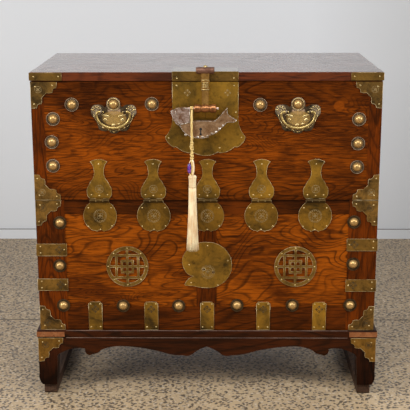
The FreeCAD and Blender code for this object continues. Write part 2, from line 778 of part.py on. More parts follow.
# The hasp's root: two leaves on that strap, each rolled to a knuckle, and the pin.
eye_side = S.bar_top_width * half_share
knuckle_far = S.barrel_width * half_share
roots = []
strap_face = top + S.plate_thick
for side, sign in (("left", -1), ("right", 1)):
    near = S.lock_centre + (eye_side + S.pin_clear) * share(sign)
    far = S.lock_centre + knuckle_far * share(sign)
    low_x, high_x = (far, near) if side == "left" else (near, far)
    leaf_low = low_x + S.barrel_tip if side == "left" else low_x
    leaf_high = high_x if side == "left" else high_x - S.barrel_tip
    roots.append(block("hasp_leaf_" + side, leaf_low, hasp_y, strap_face, leaf_high,
                       front + S.hasp_leaf_back, strap_face + S.plate_thick))
    straight = high_x - low_x - S.barrel_tip
    tip_radius = S.barrel_radius * share(0.68)
    if side == "left":
        roots.append(taper_x("hasp_tip_left", low_x, hasp_y, hasp_z, tip_radius, S.barrel_radius,
                             S.barrel_tip))
        roots.append(rod_x("hasp_knuckle_left", low_x + S.barrel_tip, hasp_y, hasp_z,
                           S.barrel_radius, straight))
    else:
        roots.append(rod_x("hasp_knuckle_right", low_x, hasp_y, hasp_z, S.barrel_radius, straight))
        roots.append(taper_x("hasp_tip_right", high_x - S.barrel_tip, hasp_y, hasp_z,
                             S.barrel_radius, tip_radius, S.barrel_tip))
roots.append(rod_x("hasp_pin", S.lock_centre - knuckle_far, hasp_y, hasp_z, S.hasp_pin_radius,
                   knuckle_far * twice_share))
keep(joined("hasp_hinge", roots))

# Strap hinges.  The flap carries the middle knuckle, the lower front the outer two.
upper_leaf_tall = flap_top - S.corner_inset - S.lock_tall - S.leaf_gap - S.split_height
knuckle_half = S.knuckle_width * half_share
middle_half = S.knuckle_middle * half_share
outer_half = middle_half + S.pin_clear
hinge_first = S.hinge_shift - hinge_pitch * twice_share


def knuckle_pad(body, name, low_x, high_x, bore):
    """A knuckle round the pin line, drawn in the YZ plane and padded along X."""
    sketch = body.newObject("Sketcher::SketchObject", name + "_ring")
    sketch.AttachmentSupport = (origin_plane(body, "YZ_Plane"), [""])
    sketch.MapMode = "FlatFace"
    sketch.AttachmentOffset = FreeCAD.Placement(FreeCAD.Vector(0, 0, low_x.amount), upright)
    bind(sketch, "AttachmentOffset.Base.z", low_x)
    centre = FreeCAD.Vector(-S.hinge_reach.amount, 0, 0)
    normal = FreeCAD.Vector(0, 0, 1)
    rules = []
    for number, radius in enumerate((S.knuckle_radius, bore)):
        sketch.addGeometry(Part.Circle(centre, normal, radius.amount), False)
        rules.append(Sketcher.Constraint("DistanceX", -1, 1, number, 3, centre.x))
        rules.append(Sketcher.Constraint("PointOnObject", number, 3, -1))
        rules.append(Sketcher.Constraint("Radius", number, radius.amount))
    sketch.addConstraint(rules)
    sketch.setExpression("Constraints[0]", (-S.hinge_reach).formula)
    sketch.setExpression("Constraints[2]", S.knuckle_radius.formula)
    sketch.setExpression("Constraints[3]", (-S.hinge_reach).formula)
    sketch.setExpression("Constraints[5]", bore.formula)
    return pad(body, name, sketch, high_x - low_x)


def shifted(corners):
    """Move an outline from a hinge's own middle to the first hinge of the row."""
    return [(hinge_first + corner[0],) + corner[1:] for corner in corners]


body = new_body("hinge_upper_leaves")
head, neck, belly = (S.upper_leaf_head * half_share, S.upper_leaf_neck * half_share,
                     S.upper_leaf_belly * half_share)
corners = shifted(reflect([
    (head, upper_leaf_tall, share(-0.10)),
    (neck, upper_leaf_tall * share(0.80), share(-0.13)),
    (belly * share(0.68), upper_leaf_tall * share(0.49)),
    (belly * share(0.875), upper_leaf_tall * share(0.37), share(0.12)),
    (belly, upper_leaf_tall * share(0.22), share(0.14)),
    (knuckle_half, S.leaf_clear),
    (middle_half, S.leaf_clear),
    (middle_half, zero),
], share(0.15)))
sketch = outline(body, "upper_leaf_outline", "XZ_Plane", corners)
leaf = pad(body, "upper_leaf_pad", sketch, S.plate_thick)
ring = knuckle_pad(body, "upper_knuckle", hinge_first - middle_half, hinge_first + middle_half,
                   S.pin_radius + S.pin_clear)
row_of(body, "upper_leaf_row", [leaf, ring], sketch, hinge_pitch, share(4), 5)
keep(place(body, zero, front, S.split_height))

body = new_body("hinge_lower_leaves")
disc_down = -S.lower_leaf_drop
shoulder = root(S.lower_leaf_radius * S.lower_leaf_radius
                - (S.lower_leaf_drop - S.leaf_clear) * (S.lower_leaf_drop - S.leaf_clear))
foot_up = S.lower_leaf_radius - S.lower_leaf_cut
foot_half = root(S.lower_leaf_radius * S.lower_leaf_radius - foot_up * foot_up)
corners = shifted(reflect([
    (outer_half, -S.leaf_clear),
    (outer_half, zero),
    (knuckle_half, zero),
    (shoulder, -S.leaf_clear, share(0.285)),
    (foot_half, disc_down - foot_up, share(-0.10)),
    (foot_half * share(0.45), disc_down - S.lower_leaf_radius + S.lower_leaf_cut * share(0.3),
     share(-0.12)),
    (zero, disc_down - foot_up + S.lower_leaf_cut * share(0.2)),
]))
sketch = outline(body, "lower_leaf_outline", "XZ_Plane", corners)
leaf = pad(body, "lower_leaf_pad", sketch, S.plate_thick)
left_ring = knuckle_pad(body, "lower_knuckle_a", hinge_first - knuckle_half, hinge_first - outer_half,
                        S.pin_radius)
right_ring = knuckle_pad(body, "lower_knuckle_b", hinge_first + outer_half, hinge_first + knuckle_half,
                         S.pin_radius)
row_of(body, "lower_leaf_row", [leaf, left_ring, right_ring], sketch, hinge_pitch, share(4), 5)
keep(place(body, zero, front, S.split_height))

pins = []
for index in range(5):
    x = hinge_first + hinge_pitch * share(index) - knuckle_half
    pins.append(rod_x("hinge_pin_%d" % index, x, pin_y, S.split_height, S.pin_radius, S.knuckle_width))
keep(group("hinge_pins", pins))

# Domed studs on washers.
sphere_radius = (S.stud_radius * S.stud_radius + S.stud_rise * S.stud_rise) / (
    twice_share * S.stud_rise)
sphere_back = sphere_radius - S.stud_rise


def stud(name, x, z, base_y):
    """A washer whose back lies at base_y and a spherical dome on it."""
    washer = post_y(name + "_washer", x, base_y, z, S.washer_radius, S.washer_thick)
    dome = doc.addObject("Part::Sphere", name + "_dome")
    bind(dome, "Radius", sphere_radius)
    dome.Angle1 = arcsine(sphere_back / sphere_radius).amount
    bind(dome, "Angle1", arcsine(sphere_back / sphere_radius))
    place(dome, x, base_y - S.washer_thick + sphere_back, z, to_front)
    return washer, dome


def stud_set(name, places):
    washers, domes = [], []
    for index, (x, z, base_y) in enumerate(places):
        washer, dome = stud("%s_%d" % (name, index), x, z, base_y)
        washers.append(washer)
        domes.append(dome)
    keep(group(name + "_washers", washers))
    keep(group(name + "s", domes))


handle_stud_z = handle_z + S.handle_stud_rise
flap_stud_shares = (
    (-0.767, 0.811), (-0.877, 0.691), (-0.889, 0.497), (-0.887, 0.294), (-0.310, 0.815),
    (0.307, 0.808), (0.871, 0.688), (0.870, 0.484), (0.869, 0.284),
)
front_stud_shares = (
    (-0.860, 0.831), (-0.869, 0.502), (-0.856, 0.192), (-0.499, 0.189), (-0.167, 0.189),
    (0.181, 0.194), (0.511, 0.194), (0.855, 0.197), (0.865, 0.517), (0.862, 0.838),
)
flap_places = [(from_middle(across), on_flap(up), front) for across, up in flap_stud_shares]
flap_places += [(place_x, handle_stud_z, face) for place_x in handle_places.values()]
front_places = [(from_middle(across), on_front(up), front) for across, up in front_stud_shares]
stud_set("flap_stud", flap_places)
stud_set("front_stud", front_places)

# Drop handles: a winged plate with two eyes, and a bail that swings in them.
eye_half = S.eye_spread * half_share
handle_y = front - S.handle_reach
bore = S.bail_pin + S.eye_clear
# The bow of a bail: side arcs that turn through bow_degrees and one wider arc below.
quarter = 90
half_circle = 180
bow_degrees = 50
low_degrees = half_circle - bow_degrees * 2
grip_inset = 6
bow_cos = share(math.cos(math.radians(bow_degrees)))
bow_sin = share(math.sin(math.radians(bow_degrees)))


def bent_wire(name, x, z, bend, radius, start, turn):
    """A round wire bent in the plane of the front, from a start angle through a turn."""
    obj = doc.addObject("Part::Torus", name)
    obj.Label = name
    bind(obj, "Radius1", bend)
    bind(obj, "Radius2", radius)
    obj.Angle3 = turn
    return place(obj, x, handle_y, z, to_front * FreeCAD.Rotation(FreeCAD.Vector(0, 0, 1), start))


for side, middle in handle_places.items():
    wing = S.back_width * half_share
    body = new_body("handle_back_" + side)
    corners = reflect([
        (wing * share(0.276), S.back_above),
        (wing * share(0.379), S.back_above * share(0.59), share(0.16)),
        (wing * share(0.741), S.back_above * share(0.97), share(0.25)),
        (wing, S.back_above * share(0.18), share(0.12)),
        (wing * share(0.931), -S.back_below * share(0.23), share(-0.06)),
        (wing * share(0.724), -S.back_below * share(0.632)),
        (wing * share(0.690), -S.back_below * share(0.737), share(0.18)),
        (wing * share(0.448), -S.back_below * share(0.895), share(0.18)),
        (wing * share(0.276), -S.back_below * share(0.860)),
        (wing * share(0.172), -S.back_below * share(0.965), share(0.12)),
        (zero, -S.back_below),
    ])
    sketch = outline(body, "handle_back_outline_" + side, "XZ_Plane", corners)
    pad(body, "handle_back_pad_" + side, sketch, S.plate_thick)
    place(body, middle, front, handle_z)
    pieces = [body]
    bores = []
    for tag, place_sign in (("a", share(-1)), ("b", share(1))):
        x = middle + eye_half * place_sign
        pieces.append(rod_x("eye_" + side + tag, x - S.eye_width * half_share, handle_y,
                            handle_z, S.eye_radius, S.eye_width))
        pieces.append(post_y("eye_stem_" + side + tag, x, front, handle_z,
                             S.eye_width * share(0.4), S.handle_reach))
        bores.append(rod_x("eye_bore_" + side + tag, x - S.eye_width, handle_y, handle_z,
                           bore, S.eye_width * twice_share))
    keep(cut("handle_plate_" + side, joined("handle_whole_" + side, pieces), bores))

    # The bail is a wire bent to a deep bow, with pins turned inwards through the eyes.
    bow_half = S.bail_width * half_share - S.bail_wire
    low = S.bail_drop - S.bail_wire
    pin_in = eye_half - S.eye_width * share(0.9)
    side_x = bow_half
    turn = S.bail_wire * share(2.2)
    hang = low - turn
    side_arc = (hang * bow_cos - side_x * (share(1) - bow_sin)) / (
        bow_sin * bow_cos - (share(1) - bow_sin) * (share(1) - bow_cos))
    low_arc = (side_x - side_arc * (share(1) - bow_cos)) / bow_cos
    pieces = []
    for tag, place_sign, turn_start, side_start_angle in (
            ("a", share(-1), quarter, half_circle), ("b", share(1), 0, -bow_degrees)):
        pieces.append(bent_wire("bail_turn_" + side + tag, middle + (side_x - turn) * place_sign,
                                handle_z - turn, turn, S.bail_wire, turn_start, quarter))
        pieces.append(bent_wire("bail_side_" + side + tag, middle + (side_x - side_arc) * place_sign,
                                handle_z - turn, side_arc, S.bail_wire, side_start_angle,
                                bow_degrees))
    pieces.append(bent_wire("bail_low_" + side, middle, handle_z - low + low_arc, low_arc,
                            S.bail_wire, half_circle + bow_degrees, low_degrees))
    pieces.append(bent_wire("bail_grip_" + side, middle, handle_z - low + low_arc, low_arc,
                            S.bail_grip, half_circle + bow_degrees + grip_inset,
                            low_degrees - grip_inset * 2))
    for tag, start, stop in (("a", -(side_x - turn), -pin_in), ("b", pin_in, side_x - turn)):
        pieces.append(rod_x("bail_pin_" + side + tag, middle + start, handle_y, handle_z,
                            S.bail_pin, stop - start))
    for tag, place_sign in (("a", share(-1)), ("b", share(1))):
        outer_bead = middle + (eye_half + S.eye_width * half_share + S.eye_clear
                               + S.bead_width * half_share) * place_sign
        pieces.append(rod_x("bead_" + side + tag, outer_bead - S.bead_width * half_share, handle_y,
                            handle_z, S.bail_bead, S.bead_width))
    keep(joined("bail_" + side, pieces))

# Openwork rings: a rim and a plain symmetric lattice of bars.
rings = []
medal_z = on_front(0.4968)
for side, x in (("left", -from_middle(0.469)), ("right", from_middle(0.5245))):
    disc = post_y("ring_disc_" + side, x, panel_front, medal_z, S.medal_radius,
                  S.plate_thick + S.panel_recess)
    well = post_y("ring_well_" + side, x, panel_front + S.overrun, medal_z,
                  S.medal_radius - S.medal_rim, S.overrun * share(3))
    rim = cut("ring_rim_" + side, disc, [well])
    bar = S.lattice_bar * half_share
    across = S.medal_radius - S.medal_rim * half_share
    bars = []
    reach_high = S.lattice_height * half_share
    reach_wide = S.lattice_width * half_share
    for tag, z in (("high", reach_high), ("mid", zero), ("low", -reach_high)):
        width = root(across * across - z * z) if z is not zero else across
        bars.append(block("bar_%s_%s" % (tag, side), x - width, face, medal_z + z - bar,
                          x + width, panel_front, medal_z + z + bar))
    for tag, step in (("a", -reach_wide), ("c", reach_wide)):
        bars.append(block("upright_%s_%s" % (tag, side), x + step - bar, face,
                          medal_z - reach_high, x + step + bar, panel_front,
                          medal_z + reach_high))
    bars.append(block("upright_b_" + side, x - bar, face, medal_z - across, x + bar, panel_front,
                      medal_z + across))
    inner_high = reach_high * half_share
    inner_wide = reach_wide * half_share
    for tag, z in (("upper", inner_high), ("lower", -inner_high)):
        bars.append(block("frame_%s_%s" % (tag, side), x - inner_wide - bar, face,
                          medal_z + z - bar, x + inner_wide + bar, panel_front, medal_z + z + bar))
    for tag, step in (("left", -inner_wide), ("right", inner_wide)):
        bars.append(block("frame_%s_%s" % (tag, side), x + step - bar, face,
                          medal_z - inner_high, x + step + bar, panel_front,
                          medal_z + inner_high))
    rings.append(joined("ring_" + side, [rim] + bars))
keep(group("medallions", rings))

# Middle plate: a disc with a long slit curling in from the left to leave a tail.
swirl_shares = (
    (-1.03, 0.41, 0.16), (0.00, 1.00, 0.2071), (1.00, 0.00, 0.2071), (0.00, -1.00, 0.03),
    (-0.55, -0.93, 0.0), (-0.98, -0.88, 0.17), (-0.47, -0.46, 0.20), (-0.97, -0.20, 0.12),
)
body = new_body("swirl_plate")
corners = []
for across, up, bow in swirl_shares:
    corners.append((S.swirl_radius * share(across), S.swirl_radius * share(up))
                   + ((share(bow),) if bow else ()))
sketch = outline(body, "swirl_outline", "XZ_Plane", corners)
pad(body, "swirl_pad", sketch, S.plate_thick)
place(body, S.swirl_x, front, on_front(0.5079))
eye_shares = ((-0.18, -0.18), (0.22, -0.30))
holes = []
for index, (across, up) in enumerate(eye_shares):
    holes.append(post_y("swirl_hole_%d" % index, S.swirl_x + S.swirl_radius * share(across),
                        front + S.overrun, on_front(0.5079) + S.swirl_radius * share(up),
                        S.swirl_hole * share(0.32), S.overrun * twice_share))
keep(cut("centre_plate", body, holes))

# Staples on the flap: two eyes round the rod, each on a stem into the lock plate.
rod_y = front - S.rod_reach
eye_half_x = S.hasp_eye_width * half_share
hole = S.rod_radius + S.staple_clear
staples = []
for side, sign in (("left", -1), ("right", 1)):
    near = S.lock_centre + (eye_half_x + S.staple_clear) * share(sign)
    far = S.lock_centre + (eye_half_x + S.staple_clear + S.staple_width) * share(sign)
    low_x = far if side == "left" else near
    ring = rod_x("staple_ring_" + side, low_x, rod_y, rod_z, S.staple_radius, S.staple_width)
    inset = S.staple_width * share(0.2)
    stem = block("staple_stem_" + side, low_x + inset, rod_y, rod_z - S.staple_radius * half_share,
                 low_x + S.staple_width - inset, face, rod_z + S.staple_radius * half_share)
    well = rod_x("staple_hole_" + side, low_x - S.staple_width, rod_y, rod_z, hole,
                 S.staple_width * share(3))
    staples.append(cut("staple_" + side, joined("staple_whole_" + side, [ring, stem]), [well]))
keep(group("lock_staples", staples))

# Hasp: barrel with end journals, ringed bar, and a hooked eye open below and behind.
drop = hasp_z - rod_z
lean = S.rod_reach - S.hasp_reach
bar_length = root(drop * drop + lean * lean)
bar_angle = Size(math.degrees(math.asin(lean.amount / bar_length.amount)),
                 "asin(%s / %s)" % (lean.formula, bar_length.formula))


def leaning(name, start, stop, wide, thick):
    """A block along the bar's slope, between two distances below the barrel."""
    body = new_body(name)
    side = wide * half_share
    deep = thick * half_share
    swell = deep * share(0.35)
    corners = [(-side, deep - swell), (-side + swell, deep), (side - swell, deep), (side, deep - swell),
               (side, swell - deep), (side - swell, -deep), (-side + swell, -deep), (-side, swell - deep)]
    corners = [corners[index] for index in (7, 6, 5, 4, 3, 2, 1, 0)]
    sketch = outline(body, name + "_section", "XY_Plane", corners)
    sketch.AttachmentOffset = FreeCAD.Placement(FreeCAD.Vector(0, 0, -stop.amount), upright)
    bind(sketch, "AttachmentOffset.Base.z", -stop)
    pad(body, name + "_pad", sketch, stop - start)
    place(body, S.lock_centre, hasp_y, hasp_z)
    body.Placement = FreeCAD.Placement(body.Placement.Base,
                                       FreeCAD.Rotation(FreeCAD.Vector(1, 0, 0), -bar_angle.amount))
    body.setExpression("Placement.Rotation.Axis.x", "1")
    body.setExpression("Placement.Rotation.Axis.y", "0")
    body.setExpression("Placement.Rotation.Axis.z", "0")
    body.setExpression("Placement.Rotation.Angle", "-(%s)" % bar_angle.formula)
    return body


stem_low = leaning("hasp_stem", S.collar_low, bar_length, S.bar_width, S.bar_thick)
stem_high = leaning("hasp_neck", zero, S.collar_high, S.bar_top_width, S.bar_thick)
collar_a = leaning("hasp_collar_high", S.collar_high, S.collar_high + S.collar_tall, S.collar_wide,
                   S.collar_thick)
collar_b = leaning("hasp_collar_low", S.collar_low - S.collar_tall, S.collar_low, S.collar_wide,
                   S.collar_thick)
waist = leaning("hasp_waist", S.collar_high, S.collar_low, S.bar_width, S.bar_thick)
hook = rod_x("hasp_hook", S.lock_centre - eye_side, hasp_y, hasp_z, S.barrel_radius, S.bar_top_width)
eye = rod_x("hasp_eye", S.lock_centre - eye_half_x, rod_y, rod_z, S.staple_radius,
            S.hasp_eye_width)
eye_hole = rod_x("hasp_eye_hole", S.lock_centre - S.hasp_eye_width, rod_y, rod_z, hole,
                 S.hasp_eye_width * twice_share)
hook_bore = rod_x("hasp_hook_bore", S.lock_centre - S.bar_top_width, hasp_y, hasp_z,
                  S.hasp_pin_radius + S.pin_clear, S.bar_top_width * twice_share)
mouth = block("hasp_hook_mouth", S.lock_centre - S.bar_top_width, hasp_y, hasp_z - S.mouth_below,
              S.lock_centre + S.bar_top_width, hasp_y + S.overrun, hasp_z + S.mouth_above)
keep(cut("hasp", joined("hasp_whole", [stem_low, stem_high, collar_a, collar_b, waist, hook, eye]),
         [eye_hole, hook_bore, mouth]))

# Fish padlock, drawn from the front about the rod's height.
fish_shares = (
    (-0.446, -0.417, 0.0), (-0.557, -0.469, 0.0), (-0.895, -0.532, 0.0), (-0.905, -0.560, 0.0),
    (-0.869, -0.640, -0.06), (-0.649, -0.880, -0.06), (-0.338, -0.987, -0.03), (-0.054, -0.987, -0.05),
    (0.115, -0.893, -0.06), (0.308, -0.813, -0.05), (0.474, -0.653, -0.05), (0.654, -0.467, 0.04),
    (0.905, -0.461, 0.0), (0.996, -0.373, 0.08), (0.696, -0.177, 0.06), (0.686, 0.040, 0.04),
    (0.549, -0.113, 0.05), (0.345, -0.352, 0.04), (0.282, -0.417, 0.0),
)
body = new_body("padlock_body")
corners = []
for across, up, bow in fish_shares:
    wide = S.fish_left if across < 0 else S.fish_right
    corners.append((wide * share(across), S.fish_bottom * share(up)) + ((share(bow),) if bow else ()))
sketch = outline(body, "fish_outline", "XZ_Plane", corners)
fish_pad = pad(body, "fish_pad", sketch, S.case_thick, both=True)
place(body, zero, rod_y, rod_z)
slot_half = S.bolt_thick * half_share + S.bolt_clear
slot_tall = S.bolt_tall * half_share + S.bolt_clear
bolt_z = rod_z - S.bolt_drop
bolt_end = S.bolt_reach - S.head_left
slot = block("case_slot", -S.fish_left - S.overrun, rod_y - slot_half, bolt_z - slot_tall,
             bolt_end + S.bolt_clear, rod_y + slot_half, bolt_z + slot_tall)
keyway = post_y("keyhole_eye", -S.fish_left * share(0.19), rod_y, rod_z - S.fish_bottom * share(0.69),
                S.bolt_tall * share(0.36), S.overrun)
keyway_low = block("keyhole_foot", -S.fish_left * share(0.19) - S.bolt_tall * share(0.18),
                   rod_y - S.overrun, rod_z - S.fish_bottom * share(0.91),
                   -S.fish_left * share(0.19) + S.bolt_tall * share(0.18), rod_y,
                   rod_z - S.fish_bottom * share(0.69))
keep(cut("padlock_case", body, [slot, keyway, keyway_low]))

# Shackle: the fish's head block with the rod above and the bolt below.
body = new_body("shackle_head")
corners = [
    (-S.head_left, zero),
    (-S.head_left * share(0.934), -S.head_foot * share(0.68), share(-0.05)),
    (-S.head_left * share(0.844), -S.head_foot),
    (-S.head_right * share(1.024), -S.head_foot * share(0.87)),
    (-S.head_right, S.head_top * share(0.17)),
    (-S.head_left * share(0.785), S.head_top),
]
sketch = outline(body, "head_outline", "XZ_Plane", corners)
pad(body, "head_pad", sketch, S.case_thick, both=True)
place(body, zero, rod_y, rod_z)
fin_shares = (
    (-1.124, -0.068, -0.10), (-0.904, -0.573, 0.0), (-0.860, -0.500, 0.0), (-0.940, -0.250, 0.0),
    (-0.985, -0.020, 0.0),
)
fin = new_body("shackle_fin")
corners = [(S.head_left * share(across), S.fish_bottom * share(up)) + ((share(bow),) if bow else ())
           for across, up, bow in fin_shares]
sketch = outline(fin, "fin_outline", "XZ_Plane", corners)
pad(fin, "fin_pad", sketch, S.fin_thick * share(3), both=True)
place(fin, zero, rod_y, rod_z)
rod = rod_x("shackle_rod", -S.head_left * share(0.7), rod_y, rod_z, S.rod_radius,
            S.head_left * share(0.7) + S.rod_end)
bolt = block("shackle_bolt", -S.head_left * share(0.8), rod_y - S.bolt_thick * half_share,
             bolt_z - S.bolt_tall * half_share, bolt_end, rod_y + S.bolt_thick * half_share,
             bolt_z + S.bolt_tall * half_share)
tie = rod_x("cord_tie", -S.cord_x - S.tie_width * half_share, rod_y, rod_z, S.tie_radius,
            S.tie_width)
keep(joined("padlock_shackle", [body, fin, rod, bolt]))
tie_hole = rod_x("cord_tie_hole", -S.cord_x - S.tie_width, rod_y, rod_z, S.rod_radius,
                 S.tie_width * twice_share)
keep(cut("tassel_tie", tie, [tie_hole]))

# Cord: from the turns round the rod it comes forward over the case and hangs straight.
tassel_y = front - S.cord_reach
cord_route = (
    (-36.8, -30.0, 790.2),
    (-36.8, -35.2, 777.0),
    (-36.9, -38.2, 764.0),
    (-36.2, -38.2, 640.0),
    (-35.6, -38.2, 617.0),
)


def tube(name, route, radius):
    """A round cord along straight runs joined by tangent arcs."""
    points = [FreeCAD.Vector(x, y + front.amount, z) for x, y, z in route]
    edges = []
    here = points[0]
    total = 0.0
    for index in range(1, len(points) - 1):
        before = points[index].sub(points[index - 1])
        after = points[index + 1].sub(points[index])
        angle = before.getAngle(after)
        short = min(before.Length, after.Length)
        bend = 0.45 * short / math.tan(angle / 2)
        print(name, "bend radius", round(bend, 1), "mm, turn", round(math.degrees(angle), 1))
        before.normalize()
        after.normalize()
        inset = 0.45 * short
        start = points[index].sub(FreeCAD.Vector(before).multiply(inset))
        stop = points[index].add(FreeCAD.Vector(after).multiply(inset))
        inward = FreeCAD.Vector(after).sub(before)
        inward.normalize()
        rise = bend / math.cos(angle / 2) - bend
        middle = points[index].add(inward.multiply(rise))
        edges.append(Part.LineSegment(here, start).toShape())
        edges.append(Part.Arc(start, middle, stop).toShape())
        here = stop
    edges.append(Part.LineSegment(here, points[-1]).toShape())
    spine = Part.Wire(edges)
    along = points[1].sub(points[0])
    ring = Part.Wire(Part.Circle(points[0], along, radius.amount).toShape())
    solid = spine.makePipeShell([ring], True, False, 2)
    if solid.Volume < 0:
        solid = solid.reversed()
    section = math.pi * radius.amount ** 2
    print(name, "length", round(spine.Length, 1), "volume over section times length",
          round(solid.Volume / (section * spine.Length), 4))
    obj = doc.addObject("Part::Feature", name)
    obj.Label = name
    obj.Shape = solid
    return obj


keep(tube("tassel_cord", cord_route, S.cord_radius))

# Glass bead on its own short loop at the left of the cord.
bead_x = -S.cord_x - S.cord_radius - S.bead_wide + S.pin_clear
bead = new_body("tassel_bead")
tall = S.bead_long * half_share
corners = [(zero, tall), (zero, -tall), (S.bead_wide * share(0.5), -tall * share(0.9)),
           (S.bead_wide * share(0.87), -tall * share(0.5)), (S.bead_wide, zero),
           (S.bead_wide * share(0.87), tall * share(0.5)), (S.bead_wide * share(0.5), tall * share(0.9))]
sketch = outline(bead, "bead_profile", "XZ_Plane", corners)
turned = bead.newObject("PartDesign::Revolution", "bead_turned")
turned.Profile = sketch
turned.ReferenceAxis = (sketch, ["V_Axis"])
turned.Angle = full_turn
tassel_top = rod_z - S.tassel_hang
bead_z = tassel_top + S.bead_long * share(0.9)
keep(place(bead, bead_x, tassel_y, bead_z))

# Tassel: a bound head and a skirt that widens to its cut end.
tassel = new_body("tassel")
long = S.tassel_long
corners = [
    (zero, zero),
    (zero, -long),
    (S.tassel_skirt * share(0.94), -long),
    (S.tassel_skirt, -long + S.tassel_head_tall * share(0.2)),
    (S.tassel_head * share(1.18), -long * share(0.5)),
    (S.tassel_head, -S.tassel_head_tall * share(1.25)),
    (S.tassel_neck, -S.tassel_head_tall),
    (S.tassel_head * share(0.97), -S.tassel_head_tall * share(0.55)),
    (S.tassel_head, -S.tassel_head_tall * share(0.12)),
    (S.tassel_head * share(0.72), zero),
]
sketch = outline(tassel, "tassel_profile", "XZ_Plane", corners)
turned = tassel.newObject("PartDesign::Revolution", "tassel_turned")
turned.Profile = sketch
turned.ReferenceAxis = (sketch, ["V_Axis"])
turned.Angle = full_turn
keep(place(tassel, -S.cord_x + S.cord_radius * share(0.36), tassel_y, tassel_top))

doc.recompute()
faults = []
for obj in doc.Objects:
    if "Invalid" in obj.State or "Error" in obj.State:
        faults.append("%s is %s" % (obj.Name, ", ".join(obj.State)))
for obj in kept:
    if obj.Shape.isNull() or not obj.Shape.isValid() or not obj.Shape.Solids:
        faults.append(obj.Label + " has no valid solid")
if faults:
    raise SystemExit("\n".join(faults))

os.makedirs("parts", exist_ok=True)
for obj in kept:
    obj.Shape.exportStep("parts/" + obj.Label + ".step")
whole = FreeCAD.BoundBox()
for obj in kept:
    whole.add(obj.Shape.BoundBox)
print(len(kept), "nodes,", sum(len(obj.Shape.Solids) for obj in kept), "solids")
print("box", [round(value, 2) for value in
              (whole.XMin, whole.XMax, whole.YMin, whole.YMax, whole.ZMin, whole.ZMax)])
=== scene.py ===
import bpy
import bmesh
import json
import math
import random
from mathutils import Matrix, Vector

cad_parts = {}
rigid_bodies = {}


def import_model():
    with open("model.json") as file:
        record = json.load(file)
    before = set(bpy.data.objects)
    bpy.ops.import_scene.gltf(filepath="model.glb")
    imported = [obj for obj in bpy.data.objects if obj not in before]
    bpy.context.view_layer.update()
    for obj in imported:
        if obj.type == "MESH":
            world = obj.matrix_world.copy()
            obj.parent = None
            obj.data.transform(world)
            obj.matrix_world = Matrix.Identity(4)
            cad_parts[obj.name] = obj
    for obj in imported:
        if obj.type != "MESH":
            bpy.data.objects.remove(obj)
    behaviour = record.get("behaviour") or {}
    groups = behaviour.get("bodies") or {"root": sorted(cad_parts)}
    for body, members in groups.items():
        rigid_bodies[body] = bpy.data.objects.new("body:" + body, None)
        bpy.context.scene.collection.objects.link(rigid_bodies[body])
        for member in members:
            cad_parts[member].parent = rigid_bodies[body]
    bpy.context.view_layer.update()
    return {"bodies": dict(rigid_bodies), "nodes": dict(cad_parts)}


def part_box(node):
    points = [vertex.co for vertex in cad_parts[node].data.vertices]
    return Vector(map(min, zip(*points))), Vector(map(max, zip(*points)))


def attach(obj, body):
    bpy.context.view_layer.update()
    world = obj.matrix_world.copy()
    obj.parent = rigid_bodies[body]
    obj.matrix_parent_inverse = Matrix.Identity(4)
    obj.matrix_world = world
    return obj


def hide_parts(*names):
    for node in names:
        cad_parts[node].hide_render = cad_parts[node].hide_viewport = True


# A drop-front chest with brass fittings, a fish padlock and a tassel.  Everything is in
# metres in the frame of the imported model: X to the right, Y towards the back, Z up.

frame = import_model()
nodes = frame["nodes"]

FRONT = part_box("flap_panel")[0][1]           # plane of the wooden front
PLATE = FRONT - 0.002                        # face of the sheet fittings on it
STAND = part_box("apron_front")[0][1]          # plane of the legs and the apron
LEG_PLATE = STAND - 0.002                    # face of the plates on the legs
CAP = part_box("moulding_front")[0][1]         # front of the moulding
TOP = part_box("top_board")[1][2]              # top surface
FLAP_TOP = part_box("flap_panel")[1][2]        # seam between the flap and the top board
HINGE_Z = 0.548                              # height of the line on which the flap turns
LOCK_X = -0.0025                             # middle of the lock fittings
ROD_Y = FRONT - 0.024                        # line of the padlock's rod
ROD_Z = 0.794
HASP_Y = FRONT - 0.0085                      # line of the hasp's barrel
HASP_Z = TOP + 0.0072
KEYHOLE = Vector((-0.0141, ROD_Y - 0.0095, 0.7360))
CORD_Y = FRONT - 0.0382                      # plane in which the cord hangs
WALL_Y = 1.33                                # wall behind the chest
SKIRT_TOP = 0.040                            # height of its skirting
JOINT_Y = 0.355                              # joint between two slabs of the floor

# Places of the fittings across the front, and the side and height of the side straps.
HINGES = [0.0025 + 0.1413 * (index - 2) for index in range(5)]
FOOT_STRAPS = [0.0014 + 0.15048 * (index - 2) for index in range(5)]
SIDE_STRAPS = ((-1, 0.3152), (-1, 0.4124), (1, 0.3137), (1, 0.4269))
MEDALLIONS = (-0.21105, 0.236025)
HANDLES = (("left", -0.238), ("right", 0.23472))

# Camera, at the photograph's place and angle.
CAMERA_AT = Vector((0.02397, -2.8729, 1.2091))
PITCH, YAW, ROLL = (math.radians(a) for a in (14.242, -0.601, -0.129))
LENS = 91.74


def make_camera():
    forward = Vector((math.sin(YAW) * math.cos(PITCH), math.cos(YAW) * math.cos(PITCH),
                      -math.sin(PITCH)))
    right = forward.cross(Vector((0, 0, 1))).normalized()
    up = right.cross(forward)
    right, up = (math.cos(ROLL) * right + math.sin(ROLL) * up,
                 math.cos(ROLL) * up - math.sin(ROLL) * right)
    turn = Matrix((right, up, -forward)).transposed().to_4x4()
    data = bpy.data.cameras.new("photo_camera")
    data.lens = LENS
    data.sensor_width = 36.0
    camera = bpy.data.objects.new("photo_camera", data)
    camera.matrix_world = Matrix.Translation(CAMERA_AT) @ turn
    bpy.context.scene.collection.objects.link(camera)
    bpy.context.scene.camera = camera


make_camera()
bpy.context.scene.view_settings.view_transform = "Standard"


